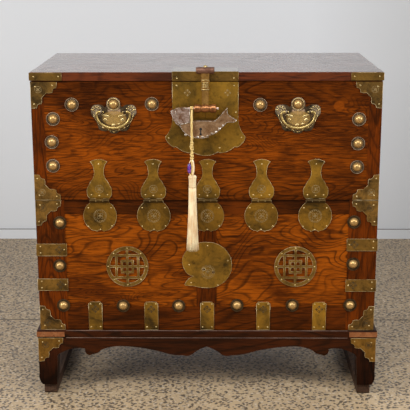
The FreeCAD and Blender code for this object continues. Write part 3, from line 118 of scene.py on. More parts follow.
# Colours are given as they look on a screen, 0 to 255.
def screen(red, green, blue):
    def linear(value):
        value = value / 255.0
        return value / 12.92 if value <= 0.04045 else ((value + 0.055) / 1.055) ** 2.4
    return (linear(red), linear(green), linear(blue), 1.0)


class Shader:
    """A material built node by node."""

    def __init__(self, name):
        self.material = bpy.data.materials.new(name)
        self.material.use_nodes = True
        self.tree = self.material.node_tree
        self.tree.nodes.clear()
        self.out = self.add("ShaderNodeOutputMaterial")
        self.body = self.add("ShaderNodeBsdfPrincipled")
        self.link(self.body.outputs[0], self.out.inputs["Surface"])

    def add(self, kind, **values):
        node = self.tree.nodes.new(kind)
        for key, value in values.items():
            setattr(node, key, value)
        return node

    def link(self, source, target):
        self.tree.links.new(source, target)

    def feed(self, socket, value):
        if isinstance(value, bpy.types.NodeSocket):
            self.link(value, socket)
        else:
            socket.default_value = value

    def coords(self, scale=(1, 1, 1), turn=(0, 0, 0), shift=(0, 0, 0)):
        here = self.add("ShaderNodeTexCoord")
        mapping = self.add("ShaderNodeMapping")
        self.link(here.outputs["Object"], mapping.inputs["Vector"])
        mapping.inputs["Scale"].default_value = scale
        mapping.inputs["Rotation"].default_value = turn
        mapping.inputs["Location"].default_value = shift
        return mapping.outputs[0]

    def noise(self, vector, scale, detail=3.0, rough=0.5, distortion=0.0):
        node = self.add("ShaderNodeTexNoise")
        self.link(vector, node.inputs["Vector"])
        node.inputs["Scale"].default_value = scale
        node.inputs["Detail"].default_value = detail
        node.inputs["Roughness"].default_value = rough
        node.inputs["Distortion"].default_value = distortion
        return node.outputs["Fac"]

    def cells(self, vector, scale):
        node = self.add("ShaderNodeTexVoronoi")
        self.link(vector, node.inputs["Vector"])
        node.inputs["Scale"].default_value = scale
        return node.outputs["Distance"]

    def split(self, vector):
        """The X, Y and Z of a vector."""
        node = self.add("ShaderNodeSeparateXYZ")
        self.link(vector, node.inputs[0])
        return node.outputs

    def facing(self):
        """The X, Y and Z of the direction that the surface faces."""
        return self.split(self.add("ShaderNodeNewGeometry").outputs["Normal"])

    def math(self, operation, a, b=0.0, clamp=False):
        node = self.add("ShaderNodeMath", operation=operation, use_clamp=clamp)
        self.feed(node.inputs[0], a)
        self.feed(node.inputs[1], b)
        return node.outputs[0]

    def ramp(self, value, stops):
        """stops: list of (place, colour or grey)."""
        node = self.add("ShaderNodeValToRGB")
        self.link(value, node.inputs[0])
        items = node.color_ramp.elements
        while len(items) < len(stops):
            items.new(0.5)
        for item, (place, colour) in zip(items, stops):
            item.position = place
            item.color = colour if isinstance(colour, tuple) else (colour, colour, colour, 1.0)
        return node.outputs[0]

    def mix(self, share, a, b, kind="MIX"):
        node = self.add("ShaderNodeMix", data_type="RGBA", blend_type=kind)
        self.feed(node.inputs[0], share)
        self.feed(node.inputs[6], a)
        self.feed(node.inputs[7], b)
        return node.outputs[2]

    def bump(self, height, strength, distance):
        node = self.add("ShaderNodeBump")
        self.link(height, node.inputs["Height"])
        node.inputs["Strength"].default_value = strength
        node.inputs["Distance"].default_value = distance
        self.link(node.outputs[0], self.body.inputs["Normal"])

    def set(self, **values):
        for name, value in values.items():
            self.feed(self.body.inputs[name.replace("_", " ")], value)


def wood(name, light, middle, dark, grain="X", figure=1.5, rings=30.0, lines=0.75, pores=0.6,
         rough=0.42, shift=0.0, seams=(), gloss=0.07, coat=0.0, scar=None, painted_shade=None):
    """Oiled wood: contour lines of a stretched noise make the figure, fine streaks the pores.
    Seams are heights at which two boards of the panel meet, coat is the wax on what faces up,
    scar is the place of a lost stud, and painted_shade is (low, high, shades), the painted shade
    that darkens the wood from its low to its high edge."""
    s = Shader(name)
    light, middle, dark = (screen(*shade) for shade in (light, middle, dark))

    def grained(along, across, move=(0, 0, 0)):
        return s.coords(tuple(along if axis == grain else across for axis in "XYZ"), shift=move)

    place = grained(1.1, 3.6, (shift, shift * 0.7, shift * 1.3))
    here = s.add("ShaderNodeTexCoord").outputs["Object"]
    x, y, z = s.split(here)
    slope = s.math("ADD", x if grain == "Z" else z, y)
    field = s.math("ADD", s.noise(place, figure, 1.6, 0.40, 1.9), slope)
    contour = s.math("FRACT", s.math("MULTIPLY", field, rings))
    line = s.ramp(contour, [(0.0, 0.0), (0.60, 0.05), (0.84, 1.0), (0.92, 0.8), (1.0, 0.0)])
    strength = s.ramp(s.noise(place, figure * 2.2, 3.0, 0.6), [(0.32, 0.40), (0.58, 1.0)])
    streak = s.noise(grained(5, 60, (shift, 0, 0)), 4.0, 4.0, 0.62, 0.6)
    pore_mask = s.ramp(s.noise(grained(22, 330), 1.0, 2.0, 0.5, 0.5), [(0.36, 1.0), (0.46, 0.0)])
    blotch = s.noise(s.coords((1, 1, 1.5), shift=(0, 0, shift)), 4.0, 4.0, 0.6, 0.8)
    tone = s.math("ADD", s.math("MULTIPLY", blotch, 0.55), s.math("MULTIPLY", streak, 0.45))
    colour = s.ramp(tone, [(0.41, middle), (0.57, light)])
    colour = s.mix(s.math("MULTIPLY", s.math("MULTIPLY", line, strength), lines), colour, dark)
    colour = s.mix(s.math("MULTIPLY", pore_mask, pores), colour, dark)
    height = s.math("ADD", s.math("MULTIPLY", pore_mask, -0.6), s.math("MULTIPLY", streak, 0.5))
    # Painted shade: the colour darkens between the two heights by the given shades, with a little noise.
    if painted_shade is not None:
        low, high, shades = painted_shade
        level = s.math("DIVIDE", s.math("SUBTRACT", z, low), high - low)
        drift = s.math("MULTIPLY", s.math("SUBTRACT", s.noise(s.coords(), 5.0, 2.0), 0.5), 0.35)
        colour = s.mix(1.0, colour, s.ramp(s.math("ADD", level, drift), shades), "MULTIPLY")
    if seams:
        wander = s.math("MULTIPLY", s.noise(s.coords((3, 1, 1)), 2.0, 2.0), 0.004)
        for seam in seams:
            away = s.math("ABSOLUTE", s.math("SUBTRACT", s.math("ADD", z, wander), seam + 0.002))
            crack = s.math("SUBTRACT", 1.0, s.math("DIVIDE", away, 0.0011), clamp=True)
            colour = s.mix(s.math("MULTIPLY", crack, 0.6), colour, dark)
            height = s.math("SUBTRACT", height, crack)
    if scar is not None:
        where = s.add("ShaderNodeVectorMath", operation="DISTANCE")
        s.link(here, where.inputs[0])
        where.inputs[1].default_value = scar
        ring = s.ramp(s.math("MULTIPLY", where.outputs["Value"], 40.0), [(0.46, 0.5), (0.60, 0.0)])
        colour = s.mix(ring, colour, light)
    roughness = s.math("ADD", s.math("MULTIPLY", streak, 0.16), rough - 0.08)
    s.set(Base_Color=colour, Roughness=roughness)
    s.body.inputs["Specular IOR Level"].default_value = gloss
    if coat:
        s.link(s.ramp(s.facing()[2], [(0.8, 0.0), (0.97, coat)]), s.body.inputs["Coat Weight"])
        s.body.inputs["Coat IOR"].default_value = 1.8
        wear = s.math("ADD", s.math("MULTIPLY", streak, 0.25), s.math("MULTIPLY", line, 0.10))
        s.link(s.math("ADD", wear, 0.10), s.body.inputs["Coat Roughness"])
    s.bump(height, 0.2, 0.0006)
    return s.material


def metal(name, base, patch, dark, rough=0.36, patches=18.0, metallic=0.9, spread=0.5, bumps=0.25,
          painted_top_reflection=None, domed=None, barrel=None, fields=()):
    """Old sheet metal: a tarnish with worn bright patches, dark spots and fine scratches.
    painted_top_reflection is a painted reflection on what faces up, under the wax of the top
    board, domed a painted shade on what turns away from the front, and barrel a painted shade
    on the knuckles along the hinge line.  A field is (across, up, half width, half height,
    colour) of an oval, at both sides of the middle, brighter and less metallic than the rest;
    round the fields the dark base is painted shade."""
    s = Shader(name)
    base, patch, dark = (screen(*shade) for shade in (base, patch, dark))
    here = s.coords()
    cloud = s.noise(here, patches, 5.0, 0.62, 0.5)
    fleck = s.noise(here, patches * 9, 3.0, 0.6)
    spots = s.noise(here, patches * 4.5, 4.0, 0.7, 0.2)
    scratch = s.noise(s.coords((30, 30, 900), turn=(0.0, 0.5, 0.0)), 1.0, 2.0)
    colour = s.ramp(cloud, [(0.5 - spread * 0.36, base), (0.5 + spread * 0.30, patch)])
    colour = s.mix(s.ramp(spots, [(0.54, 0.0), (0.76, 0.7)]), colour, dark)
    colour = s.mix(s.math("MULTIPLY", fleck, 0.28), colour, dark)
    colour = s.mix(s.ramp(scratch, [(0.68, 0.0), (0.76, 0.35)]), colour, patch)
    # Painted reflection: what faces up is tinted, and it also gets a wax coat.
    if painted_top_reflection is not None:
        upper = s.ramp(s.facing()[2], [(0.7, 0.0), (0.95, 1.0)])
        colour = s.mix(s.math("MULTIPLY", upper, 0.8), colour, screen(*painted_top_reflection))
        s.link(upper, s.body.inputs["Coat Weight"])
        s.body.inputs["Coat Roughness"].default_value = 0.10
        s.body.inputs["Coat IOR"].default_value = 2.2
    # Painted shade on what turns away from the front, as on the rims of domes.
    if domed is not None:
        ahead = s.math("MULTIPLY", s.facing()[1], -1.0)
        colour = s.mix(s.ramp(ahead, [(0.18, 1.0), (0.44, 0.0)]), colour, screen(*domed))
    # Painted shade in a band along the hinge line, on the knuckles between flap and front.
    if barrel is not None:
        apart = s.math("ABSOLUTE", s.math("SUBTRACT", s.split(here)[2], HINGE_Z))
        colour = s.mix(s.ramp(apart, [(0.0044, 0.85), (0.0058, 0.0)]), colour, screen(*barrel))
    polished = 0.0
    for across, up, half_wide, half_tall, polish in fields:
        x, _, z = s.split(here)
        wide = s.math("DIVIDE", s.math("SUBTRACT", s.math("ABSOLUTE", x), across), half_wide)
        tall = s.math("DIVIDE", s.math("SUBTRACT", z, up), half_tall)
        away = s.math("ADD", s.math("MULTIPLY", wide, wide), s.math("MULTIPLY", tall, tall))
        inside = s.ramp(away, [(0.70, 1.0), (1.0, 0.0)])
        worn = s.math("MULTIPLY", s.ramp(fleck, [(0.38, 0.25), (0.60, 1.0)]), 0.95)
        colour = s.mix(s.math("MULTIPLY", inside, worn), colour, screen(*polish))
        polished = s.math("MAXIMUM", inside, polished)
    if fields:
        metallic = s.math("SUBTRACT", metallic, s.math("MULTIPLY", polished, 0.45))
    roughness = s.math("ADD", s.math("MULTIPLY", cloud, -0.14), s.math("MULTIPLY", fleck, 0.22))
    s.set(Base_Color=colour, Roughness=s.math("ADD", roughness, rough), Metallic=metallic)
    relief = s.math("ADD", s.math("MULTIPLY", cloud, 0.7), s.math("MULTIPLY", fleck, 0.3))
    s.bump(relief, bumps, 0.0012)
    return s.material


def silk(name, light, dark, turns, twisted=False):
    """Silk threads, combed along Z, or a cord twisted from them."""
    s = Shader(name)
    light, dark = screen(*light), screen(*dark)
    strands = s.noise(s.coords((1, 1, 0.03)), turns, 3.0, 0.6, 0.2)
    locks = s.noise(s.coords((1, 1, 0.05)), turns * 0.25, 2.0, 0.5, 0.2)
    strands = s.math("ADD", s.math("MULTIPLY", strands, 0.45), s.math("MULTIPLY", locks, 0.55))
    soft = s.noise(s.coords(), 40.0)
    if twisted:
        band = s.add("ShaderNodeTexWave", bands_direction="X")
        s.link(s.coords((1, 0.4, 0.62), turn=(0.0, 0.25, 0.0)), band.inputs["Vector"])
        band.inputs["Scale"].default_value = 95.0
        band.inputs["Distortion"].default_value = 1.2
        strands = s.math("ADD", s.math("MULTIPLY", strands, 0.35),
                         s.math("MULTIPLY", band.outputs["Fac"], 0.65))
    tone = s.math("ADD", s.math("MULTIPLY", strands, 0.75), s.math("MULTIPLY", soft, 0.25))
    s.set(Base_Color=s.ramp(tone, [(0.37, dark), (0.58, light)]), Roughness=0.62)
    s.body.inputs["Sheen Weight"].default_value = 0.15
    s.body.inputs["Sheen Roughness"].default_value = 0.4
    s.bump(strands, 0.5, 0.0006)
    return s.material


# The flap's figured wood gets painted shade, darker at its hinge edge and at its top edge.
burl = wood("figured_wood", (137, 64, 5), (76, 32, 2), (40, 15, 2), seams=(0.609, 0.8005),
            scar=(0.340, FRONT, 0.796),
            painted_shade=(HINGE_Z, 0.857, [(0.0, 0.48), (0.16, 0.80), (0.42, 1.0), (0.68, 0.95), (0.84, 0.50),
                                   (1.0, 0.40)]))
burl_low = wood("figured_wood_low", (148, 72, 7), (84, 36, 3), (40, 15, 2), figure=1.3, lines=0.78,
                shift=5.3)
side_wood = wood("side_wood", (120, 54, 5), (82, 35, 3), (42, 16, 2), "Z", 1.0, 22.0, lines=0.6,
                 shift=1.9)
top_wood = wood("top_wood", (96, 44, 18), (74, 34, 14), (36, 16, 8), "X", 0.7, 24.0, lines=0.6,
                rough=0.30, shift=5.1, gloss=0.25, coat=1.0)
# The top rail gets painted shade that darkens it towards the hinge line under the flap.
rail_wood = wood("rail_wood", (94, 41, 4), (60, 25, 2), (32, 12, 2), "X", 0.8, 24.0, shift=2.3,
                 painted_shade=(0.520, HINGE_Z, [(0.0, 1.0), (0.70, 0.92), (0.88, 0.42), (1.0, 0.26)]))
stile_wood = wood("stile_wood", (102, 43, 3), (66, 27, 2), (36, 13, 2), "Z", 0.8, 24.0, shift=4.4)
stand_wood = wood("stand_wood", (60, 25, 5), (42, 17, 4), (22, 9, 2), "X", 0.9, 16.0, shift=6.2,
                  gloss=0.10)
# The legs get painted shade that darkens them towards the floor.
leg_wood = wood("leg_wood", (62, 27, 9), (42, 18, 6), (18, 8, 3), "Z", 0.9, 16.0, shift=7.2,
                painted_shade=(0.0, 0.2, [(0.0, 0.38), (0.35, 0.50), (0.75, 1.0)]))
foot_wood = wood("foot_wood", (82, 60, 46), (60, 42, 31), (32, 22, 16), "Y", 0.8, 20.0, rough=0.55,
                 shift=4.4)
plain_wood = wood("plain_wood", (150, 100, 58), (122, 78, 42), (78, 46, 24), "X", 0.7, 16.0, lines=0.5,
                  rough=0.6, shift=8.5)

# Both hinge brasses get painted shade along the hinge line.
brass = metal("aged_brass", (80, 63, 32), (204, 155, 56), (42, 32, 17), 0.38, 12.0, spread=0.46,
              barrel=(58, 45, 26))
disc_brass = metal("disc_brass", (62, 50, 28), (184, 138, 50), (36, 28, 17), 0.34, 12.0, spread=0.46,
                   barrel=(58, 45, 26))
lock_brass = metal("lock_brass", (88, 69, 32), (200, 152, 56), (46, 35, 19), 0.38, 16.0, spread=0.6)
corner_brass = metal("corner_brass", (72, 56, 32), (176, 134, 66), (36, 28, 18), 0.38, 26.0, spread=0.45,
                     bumps=0.4)
# The straps' upper faces carry a painted reflection.
strap_brass = metal("strap_brass", (74, 57, 30), (166, 126, 58), (44, 32, 14), 0.38, 18.0,
                    painted_top_reflection=(96, 78, 48))
lattice_brass = metal("lattice_brass", (120, 92, 44), (176, 138, 64), (54, 38, 16), 0.38, 30.0,
                      spread=0.5)
washer_brass = metal("washer_brass", (54, 42, 28), (104, 84, 58), (26, 18, 12), 0.36, 60.0)
# The studs' domes get painted shade round their rims.
dome_brass = metal("dome_brass", (176, 134, 74), (210, 172, 110), (112, 80, 38), 0.26, 40.0, metallic=0.6,
                   spread=0.7, bumps=0.08, domed=(156, 120, 64))
brass_bright = metal("bright_brass", (168, 140, 76), (220, 196, 132), (96, 72, 32), 0.30, 50.0,
                     spread=0.7, bumps=0.15)
leg_brass = metal("leg_brass", (112, 80, 32), (176, 132, 58), (56, 38, 18), 0.38, 22.0)
# On the handle plates the dark base stands for shade round the bail: painted shade; the fields are the
# brighter plate.
brass_dark = metal("handle_brass", (62, 50, 36), (132, 112, 86), (26, 20, 16), 0.32, 60.0, spread=0.4,
                   bumps=0.6, fields=((0.1905, 0.7865, 0.0150, 0.0150, (164, 146, 122)),
                                      (0.2815, 0.7865, 0.0150, 0.0150, (164, 146, 122)),
                                      (0.2363, 0.7845, 0.0180, 0.0110, (206, 172, 142)),
                                      (0.2363, 0.7650, 0.0330, 0.0210, (198, 158, 82))))
hasp_brass = metal("hasp_brass", (128, 90, 40), (198, 148, 76), (64, 40, 18), 0.32, 40.0)
# What faces up on the copper carries a painted reflection.
copper = metal("copper", (168, 104, 66), (208, 148, 104), (84, 48, 30), 0.34, 40.0,
               painted_top_reflection=(120, 84, 60))
barrel_metal = metal("barrel_metal", (112, 78, 62), (150, 112, 94), (62, 40, 30), 0.55, 50.0)
# The sleeves get painted shade where they turn away from the front.
sleeve_copper = metal("sleeve_copper", (128, 82, 46), (190, 130, 84), (64, 38, 20), 0.34, 60.0,
                      domed=(100, 64, 38))
padlock_metal = metal("padlock_metal", (136, 96, 60), (214, 176, 136), (66, 44, 26), 0.38, 52.0,
                      spread=0.55, bumps=0.5)
shackle_metal = metal("shackle_metal", (142, 102, 74), (230, 206, 194), (84, 42, 18), 0.34, 60.0,
                      spread=0.35, bumps=0.5)
silk_cord = silk("silk_cord", (240, 214, 140), (176, 134, 66), 700.0, twisted=True)
silk_thread = silk("silk_thread", (255, 244, 206), (226, 178, 120), 1300.0)


def glass(name):
    """Blue glass with a violet heart and a glossy skin."""
    s = Shader(name)
    cloud = s.noise(s.coords(), 160.0, 3.0, 0.6, 0.4)
    s.set(Base_Color=s.ramp(cloud, [(0.35, screen(24, 22, 92)), (0.52, screen(78, 44, 150)),
                                    (0.66, screen(190, 90, 170))]), Roughness=0.08)
    s.body.inputs["Coat Weight"].default_value = 0.8
    s.bump(cloud, 0.1, 0.0003)
    return s.material


bead_glass = glass("bead_glass")

looks = {
    burl: ("flap_panel",),
    burl_low: ("panel_left", "panel_right"),
    side_wood: ("side_board_left", "side_board_right"),
    top_wood: ("top_board",),
    rail_wood: ("rail_top", "rail_bottom"),
    stile_wood: ("stile_left", "stile_right", "stile_centre", "flap_end_left", "flap_end_right"),
    plain_wood: ("back_board", "bottom_board"),
    stand_wood: ("moulding_front", "moulding_back", "moulding_left", "moulding_right", "apron_front",
                 "apron_left", "apron_right", "back_rail"),
    foot_wood: ("runner_left", "runner_right"),
    leg_wood: ("leg_front_left", "leg_front_right", "leg_back_left", "leg_back_right"),
    lock_brass: ("lock_plate", "centre_plate"),
    brass: ("foot_straps", "hinge_upper_leaves"),
    disc_brass: ("hinge_lower_leaves",),
    corner_brass: ("flap_corner_plates", "front_corner_plates"),
    lattice_brass: ("medallions",),
    strap_brass: ("top_corner_straps", "side_straps", "top_lock_strap"),
    washer_brass: ("flap_stud_washers", "front_stud_washers"),
    dome_brass: ("flap_studs", "front_studs"),
    brass_dark: ("handle_plate_left", "handle_plate_right"),
    brass_bright: ("bail_left", "bail_right"),
    leg_brass: ("leg_plates",),
    hasp_brass: ("hasp",),
    copper: ("moulding_caps", "hinge_pins", "lock_staples"),
    barrel_metal: ("hasp_hinge",),
    padlock_metal: ("padlock_case",),
    shackle_metal: ("padlock_shackle",),
}
for material, names in looks.items():
    for name in names:
        for holder in nodes[name].material_slots:
            holder.material = material


def make_stage():
    """Floor with one joint, and a white wall with its skirting."""
    floor = Shader("floor_concrete")
    here = floor.coords()
    cloud = floor.noise(here, 3.0, 4.0, 0.6)
    base = floor.ramp(cloud, [(0.35, screen(174, 151, 119)), (0.65, screen(193, 168, 132))])
    depth = floor.math("ADD", floor.math("MULTIPLY", floor.split(here)[1], 0.5), 0.5)
    shade = floor.ramp(depth, [(0.36, 1.0), (0.50, 0.76), (1.0, 0.69)])
    base = floor.mix(1.0, base, shade, "MULTIPLY")
    uneven = floor.math("SUBTRACT", floor.noise(here, 130.0, 2.0, 0.6), 0.5)
    edge = floor.math("ADD", floor.cells(here, 96.0), floor.math("MULTIPLY", uneven, 1.1))
    pebble = floor.math("MULTIPLY", floor.ramp(edge, [(0.37, 1.0), (0.47, 0.0)]), 0.9)
    base = floor.mix(pebble, base, screen(66, 57, 50))
    pale = floor.ramp(floor.noise(here, 110.0, 1.0), [(0.58, 0.0), (0.66, 0.6)])
    floor.set(Base_Color=floor.mix(pale, base, screen(206, 192, 172)), Roughness=0.5)
    wall = Shader("wall_white")
    across = wall.math("ADD", wall.math("MULTIPLY", wall.split(wall.coords())[0], 0.5), 0.5)
    # The camera and reflections see the wall greyer than bounced light does, and darker towards its right
    # end: painted shade.
    seen = wall.ramp(across, [(0.7, screen(214, 217, 221)), (1.0, screen(186, 187, 188))])
    rays = wall.add("ShaderNodeLightPath").outputs
    direct = wall.math("MAXIMUM", rays["Is Glossy Ray"], rays["Is Transmission Ray"])
    direct = wall.math("MAXIMUM", rays["Is Camera Ray"], direct)
    wall.set(Base_Color=wall.mix(direct, screen(238, 240, 243), seen), Roughness=0.9)
    joint = Shader("joint_and_painted_shade")
    joint.set(Base_Color=screen(92, 82, 72), Roughness=0.8)
    reach = 6
    line_z = 0.0004
    skirt_y = WALL_Y - 0.012
    for name, (near_y, low), (far_y, high), material in (
            ("floor", (-5, 0), (WALL_Y, 0), floor.material),
            ("floor_line", (JOINT_Y, line_z), (JOINT_Y + 0.006, line_z), joint.material),
            ("wall", (WALL_Y, 0), (WALL_Y, 4.5), wall.material),
            ("skirting", (skirt_y, 0), (skirt_y, SKIRT_TOP), wall.material),
            # The skirting's top takes the joint's dark colour as a painted shade line.
            ("skirting_top", (skirt_y, SKIRT_TOP), (WALL_Y, SKIRT_TOP), joint.material)):
        mesh = bpy.data.meshes.new(name)
        mesh.from_pydata([(-reach, near_y, low), (reach, near_y, low), (reach, far_y, high),
                          (-reach, far_y, high)], [], [(0, 1, 2, 3)])
        mesh.materials.append(material)
        obj = bpy.data.objects.new(name, mesh)
        bpy.context.scene.collection.objects.link(obj)


make_stage()


def area_light(name, at, towards, wide, tall, power, colour=(1, 1, 1)):
    data = bpy.data.lights.new(name, "AREA")
    data.shape = "RECTANGLE"
    data.size = wide
    data.size_y = tall
    data.energy = power
    data.color = colour
    obj = bpy.data.objects.new(name, data)
    obj.location = at
    obj.rotation_euler = (Vector(towards) - Vector(at)).to_track_quat("-Z", "Y").to_euler()
    bpy.context.scene.collection.objects.link(obj)


area_light("soft_left", (-2.9, -2.0, 1.9), (0, -0.2, 0.5), 0.9, 1.5, 76, (1.0, 0.98, 0.95))
area_light("soft_right", (2.9, -2.0, 1.8), (0, -0.2, 0.5), 0.9, 1.5, 54, (0.97, 0.98, 1.0))
area_light("above", (0, -2.4, 3.1), (0, -0.2, 0.2), 2.6, 1.4, 76)
world = bpy.data.worlds.new("room")
bpy.context.scene.world = world
world.use_nodes = True
world.node_tree.nodes["Background"].inputs[0].default_value = (0.95, 0.97, 1.0, 1.0)
world.node_tree.nodes["Background"].inputs[1].default_value = 0.28


# Relief and small parts that the fittings carry.
def circle(count):
    """Cosine and sine at equal steps round a circle."""
    turns = [math.tau * step / count for step in range(count)]
    return [(math.cos(turn), math.sin(turn)) for turn in turns]


def ring_line(x, z, radius, plane, count=32):
    """Points of a circle that faces the front."""
    return [(x + radius * cos, plane, z + radius * sin) for cos, sin in circle(count)]


class Heap:
    """Gathers small forms into one mesh."""

    def __init__(self):
        self.points = []
        self.faces = []

    def skin(self, rings, closed=False, capped=True):
        """A skin over rings of points, closed round or with flat ends."""
        first = len(self.points)
        count = len(rings[0])
        for ring in rings:
            self.points += ring
        for index in range(len(rings) - (0 if closed else 1)):
            low, high = first + index * count, first + (index + 1) % len(rings) * count
            for step in range(count):
                follow = (step + 1) % count
                self.faces.append((low + step, low + follow, high + follow, high + step))
        if capped and not closed:
            last = first + (len(rings) - 1) * count
            self.faces.append(tuple(first + step for step in reversed(range(count))))
            self.faces.append(tuple(last + step for step in range(count)))

    def tube(self, line, radius, sides=6, closed=False):
        """A round tube along a line."""
        line = [Vector(at) for at in line]
        rings = []
        side = None
        for index, at in enumerate(line):
            before = line[index - 1] if closed or index else line[0]
            after = line[(index + 1) % len(line)] if closed or index + 1 < len(line) else line[-1]
            along = (after - before).normalized()
            if side is None:
                side = along.orthogonal().normalized()
            side = (side - along * side.dot(along)).normalized()
            across = along.cross(side)
            rings.append([at + (side * cos + across * sin) * radius for cos, sin in circle(sides)])
        self.skin(rings, closed)

    def dome(self, at, radius, rise, sides=10, bands=3):
        """A small domed head that faces the front."""
        at = Vector(at)
        rings = []
        for band in range(bands):
            angle = math.pi / 2 * band / bands
            out, ahead = radius * math.cos(angle), -rise * math.sin(angle)
            rings.append([at + Vector((out * cos, ahead, out * sin)) for cos, sin in circle(sides)])
        self.skin(rings, capped=False)
        last = len(self.points) - sides
        self.points.append(at + Vector((0, -rise, 0)))
        for step in range(sides):
            self.faces.append((last + step, last + (step + 1) % sides, last + sides))

    def lathe(self, centre, profile, sides, flutes=0, depth=0.0):
        """A turned form about a vertical line; profile is (radius, height), top first."""
        rings = []
        for radius, height in reversed(profile):
            ring = []
            for step in range(sides):
                turn = math.tau * step / sides
                size = radius * (1 + depth * math.cos(turn * flutes))
                ring.append(Vector((centre[0] + size * math.cos(turn),
                                    centre[1] + size * math.sin(turn), height)))
            rings.append(ring)
        self.skin(rings)

    def finish(self, name, material, body):
        """Put the forms in the scene as one named piece that rides on a body."""
        mesh = bpy.data.meshes.new(name)
        mesh.from_pydata([tuple(at) for at in self.points], [], self.faces)
        mesh.materials.append(material)
        for face in mesh.polygons:
            face.use_smooth = True
        obj = bpy.data.objects.new(name, mesh)
        bpy.context.scene.collection.objects.link(obj)
        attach(obj, body)
        return obj


def body_of(name):
    """The moving body that a CAD piece belongs to."""
    for body, empty in frame["bodies"].items():
        if nodes[name].parent == empty:
            return body
    return "chest"


def welded(name):
    """The mesh of a node, with its doubled corners joined."""
    shape = bmesh.new()
    shape.from_mesh(nodes[name].data)
    bmesh.ops.remove_doubles(shape, verts=shape.verts, dist=0.00002)
    return shape


def rim_edges(name):
    """The edges round the front face of a sheet fitting, read from its mesh."""
    shape = welded(name)
    shape.normal_update()
    found = []
    for edge in shape.edges:
        if len(edge.link_faces) != 2:
            continue
        fronts = sorted(face.normal.y for face in edge.link_faces)
        if fronts[0] < -0.95 and fronts[1] > -0.3:
            found.append((edge.verts[0].co.copy(), edge.verts[1].co.copy()))
    shape.free()
    return found


# Pale thin tubes round the front faces of the fittings: painted highlights on their edges.
painted_edge_highlight = metal("painted_edge_highlight", (150, 122, 66), (240, 216, 164), (90, 70, 36), 0.4, 30.0, metallic=0.5,
                  spread=0.3, bumps=0.1)
# Silver tubes on the padlock's edges and its scallops: painted highlights.
painted_silver_highlight = metal("painted_silver_highlight", (150, 132, 112), (226, 220, 212), (90, 76, 62), 0.28, 60.0, spread=0.3,
                    bumps=0.1)
rims = {
    "flap_rims": (("flap_corner_plates", "lock_plate", "hinge_upper_leaves"), painted_edge_highlight, 0.00042),
    "front_rims": (("front_corner_plates", "leg_plates", "hinge_lower_leaves", "centre_plate",
                    "foot_straps", "side_straps", "top_corner_straps", "top_lock_strap", "medallions"),
                   painted_edge_highlight, 0.00038),
    "padlock_rims": (("padlock_case",), painted_silver_highlight, 0.0007),
    "shackle_rims": (("padlock_shackle",), painted_silver_highlight, 0.0007),
}
for piece, (names, material, radius) in rims.items():
    heap = Heap()
    for name in names:
        for start, stop in rim_edges(name):
            at_seam = max(abs(start.z - FLAP_TOP), abs(stop.z - FLAP_TOP)) < 0.003
            at_keyhole = name == "padlock_case" and (start - KEYHOLE).length < 0.014
            if not at_seam and not at_keyhole:
                heap.tube((start, stop), radius, 4)
    heap.finish(piece, material, body_of(names[0]))


def islands(name):
    """Middle and reach of each separate part of a node."""
    shape = welded(name)
    left = set(shape.verts)
    found = []
    while left:
        part, edge = set(), [left.pop()]
        while edge:
            vert = edge.pop()
            part.add(vert)
            for link in vert.link_edges:
                other = link.other_vert(vert)
                if other in left:
                    left.discard(other)
                    edge.append(other)
        low = Vector(min(vert.co[axis] for vert in part) for axis in range(3))
        high = Vector(max(vert.co[axis] for vert in part) for axis in range(3))
        found.append(((low + high) / 2, (high - low) / 2))
    shape.free()
    return found


# Pale rings at the edges of the flap's washers: painted highlights.
pale_edge = metal("pale_edge", (112, 88, 66), (206, 180, 150), (60, 46, 34), 0.4, 60.0, metallic=0.5,
                  spread=0.5, bumps=0.1)
for side, material, body in (("flap", pale_edge, "flap"), ("front", washer_brass, "chest")):
    heap = Heap()
    for middle, half in islands(side + "_stud_washers"):
        for wide, tall, line, sides in ((half.x - 0.0007, half.z - 0.0007, 0.0007, 5),
                                        (half.x * 0.76, half.z * 0.76, 0.0004, 4)):
            heap.tube([(middle.x + wide * cos, middle.y - half.y, middle.z + tall * sin)
                       for cos, sin in circle(28)], line, sides, True)
    heap.finish(side + "_washer_rims", material, body)

# Pale lines along the edges of the front moulding between its caps: painted highlights.
painted_moulding_highlight = metal("painted_moulding_highlight", (70, 42, 30), (150, 124, 108), (44, 25, 16), 0.34, 26.0, metallic=0.0,
                   spread=0.5, bumps=0.1)
CAP_END = 0.380
CAP_LOW, CAP_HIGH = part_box("moulding_front")[0][2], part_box("moulding_front")[1][2]
heap = Heap()
for level, inset in ((CAP_LOW, 0.0010), (CAP_HIGH, 0.0004)):
    heap.tube([(-CAP_END + 2 * CAP_END * step / 12, CAP + inset, level) for step in range(13)], 0.0007, 6)
heap.finish("moulding_edges", painted_moulding_highlight, "chest")

# Nails, as places across and up on the plane of the plates.
nail_metal = metal("nail_brass", (190, 160, 96), (240, 218, 160), (110, 84, 40), 0.3, 60.0, spread=0.5,
                   bumps=0.1)


def corner_nails(side, level, upwards, reach=0.4495):
    """Three nails of a corner plate whose corner is at (side, level)."""
    up = 1 if upwards else -1
    return [(side * (reach - along), level + up * rise)
            for along, rise in ((0.008, 0.057), (0.057, 0.009), (0.012, 0.012))]


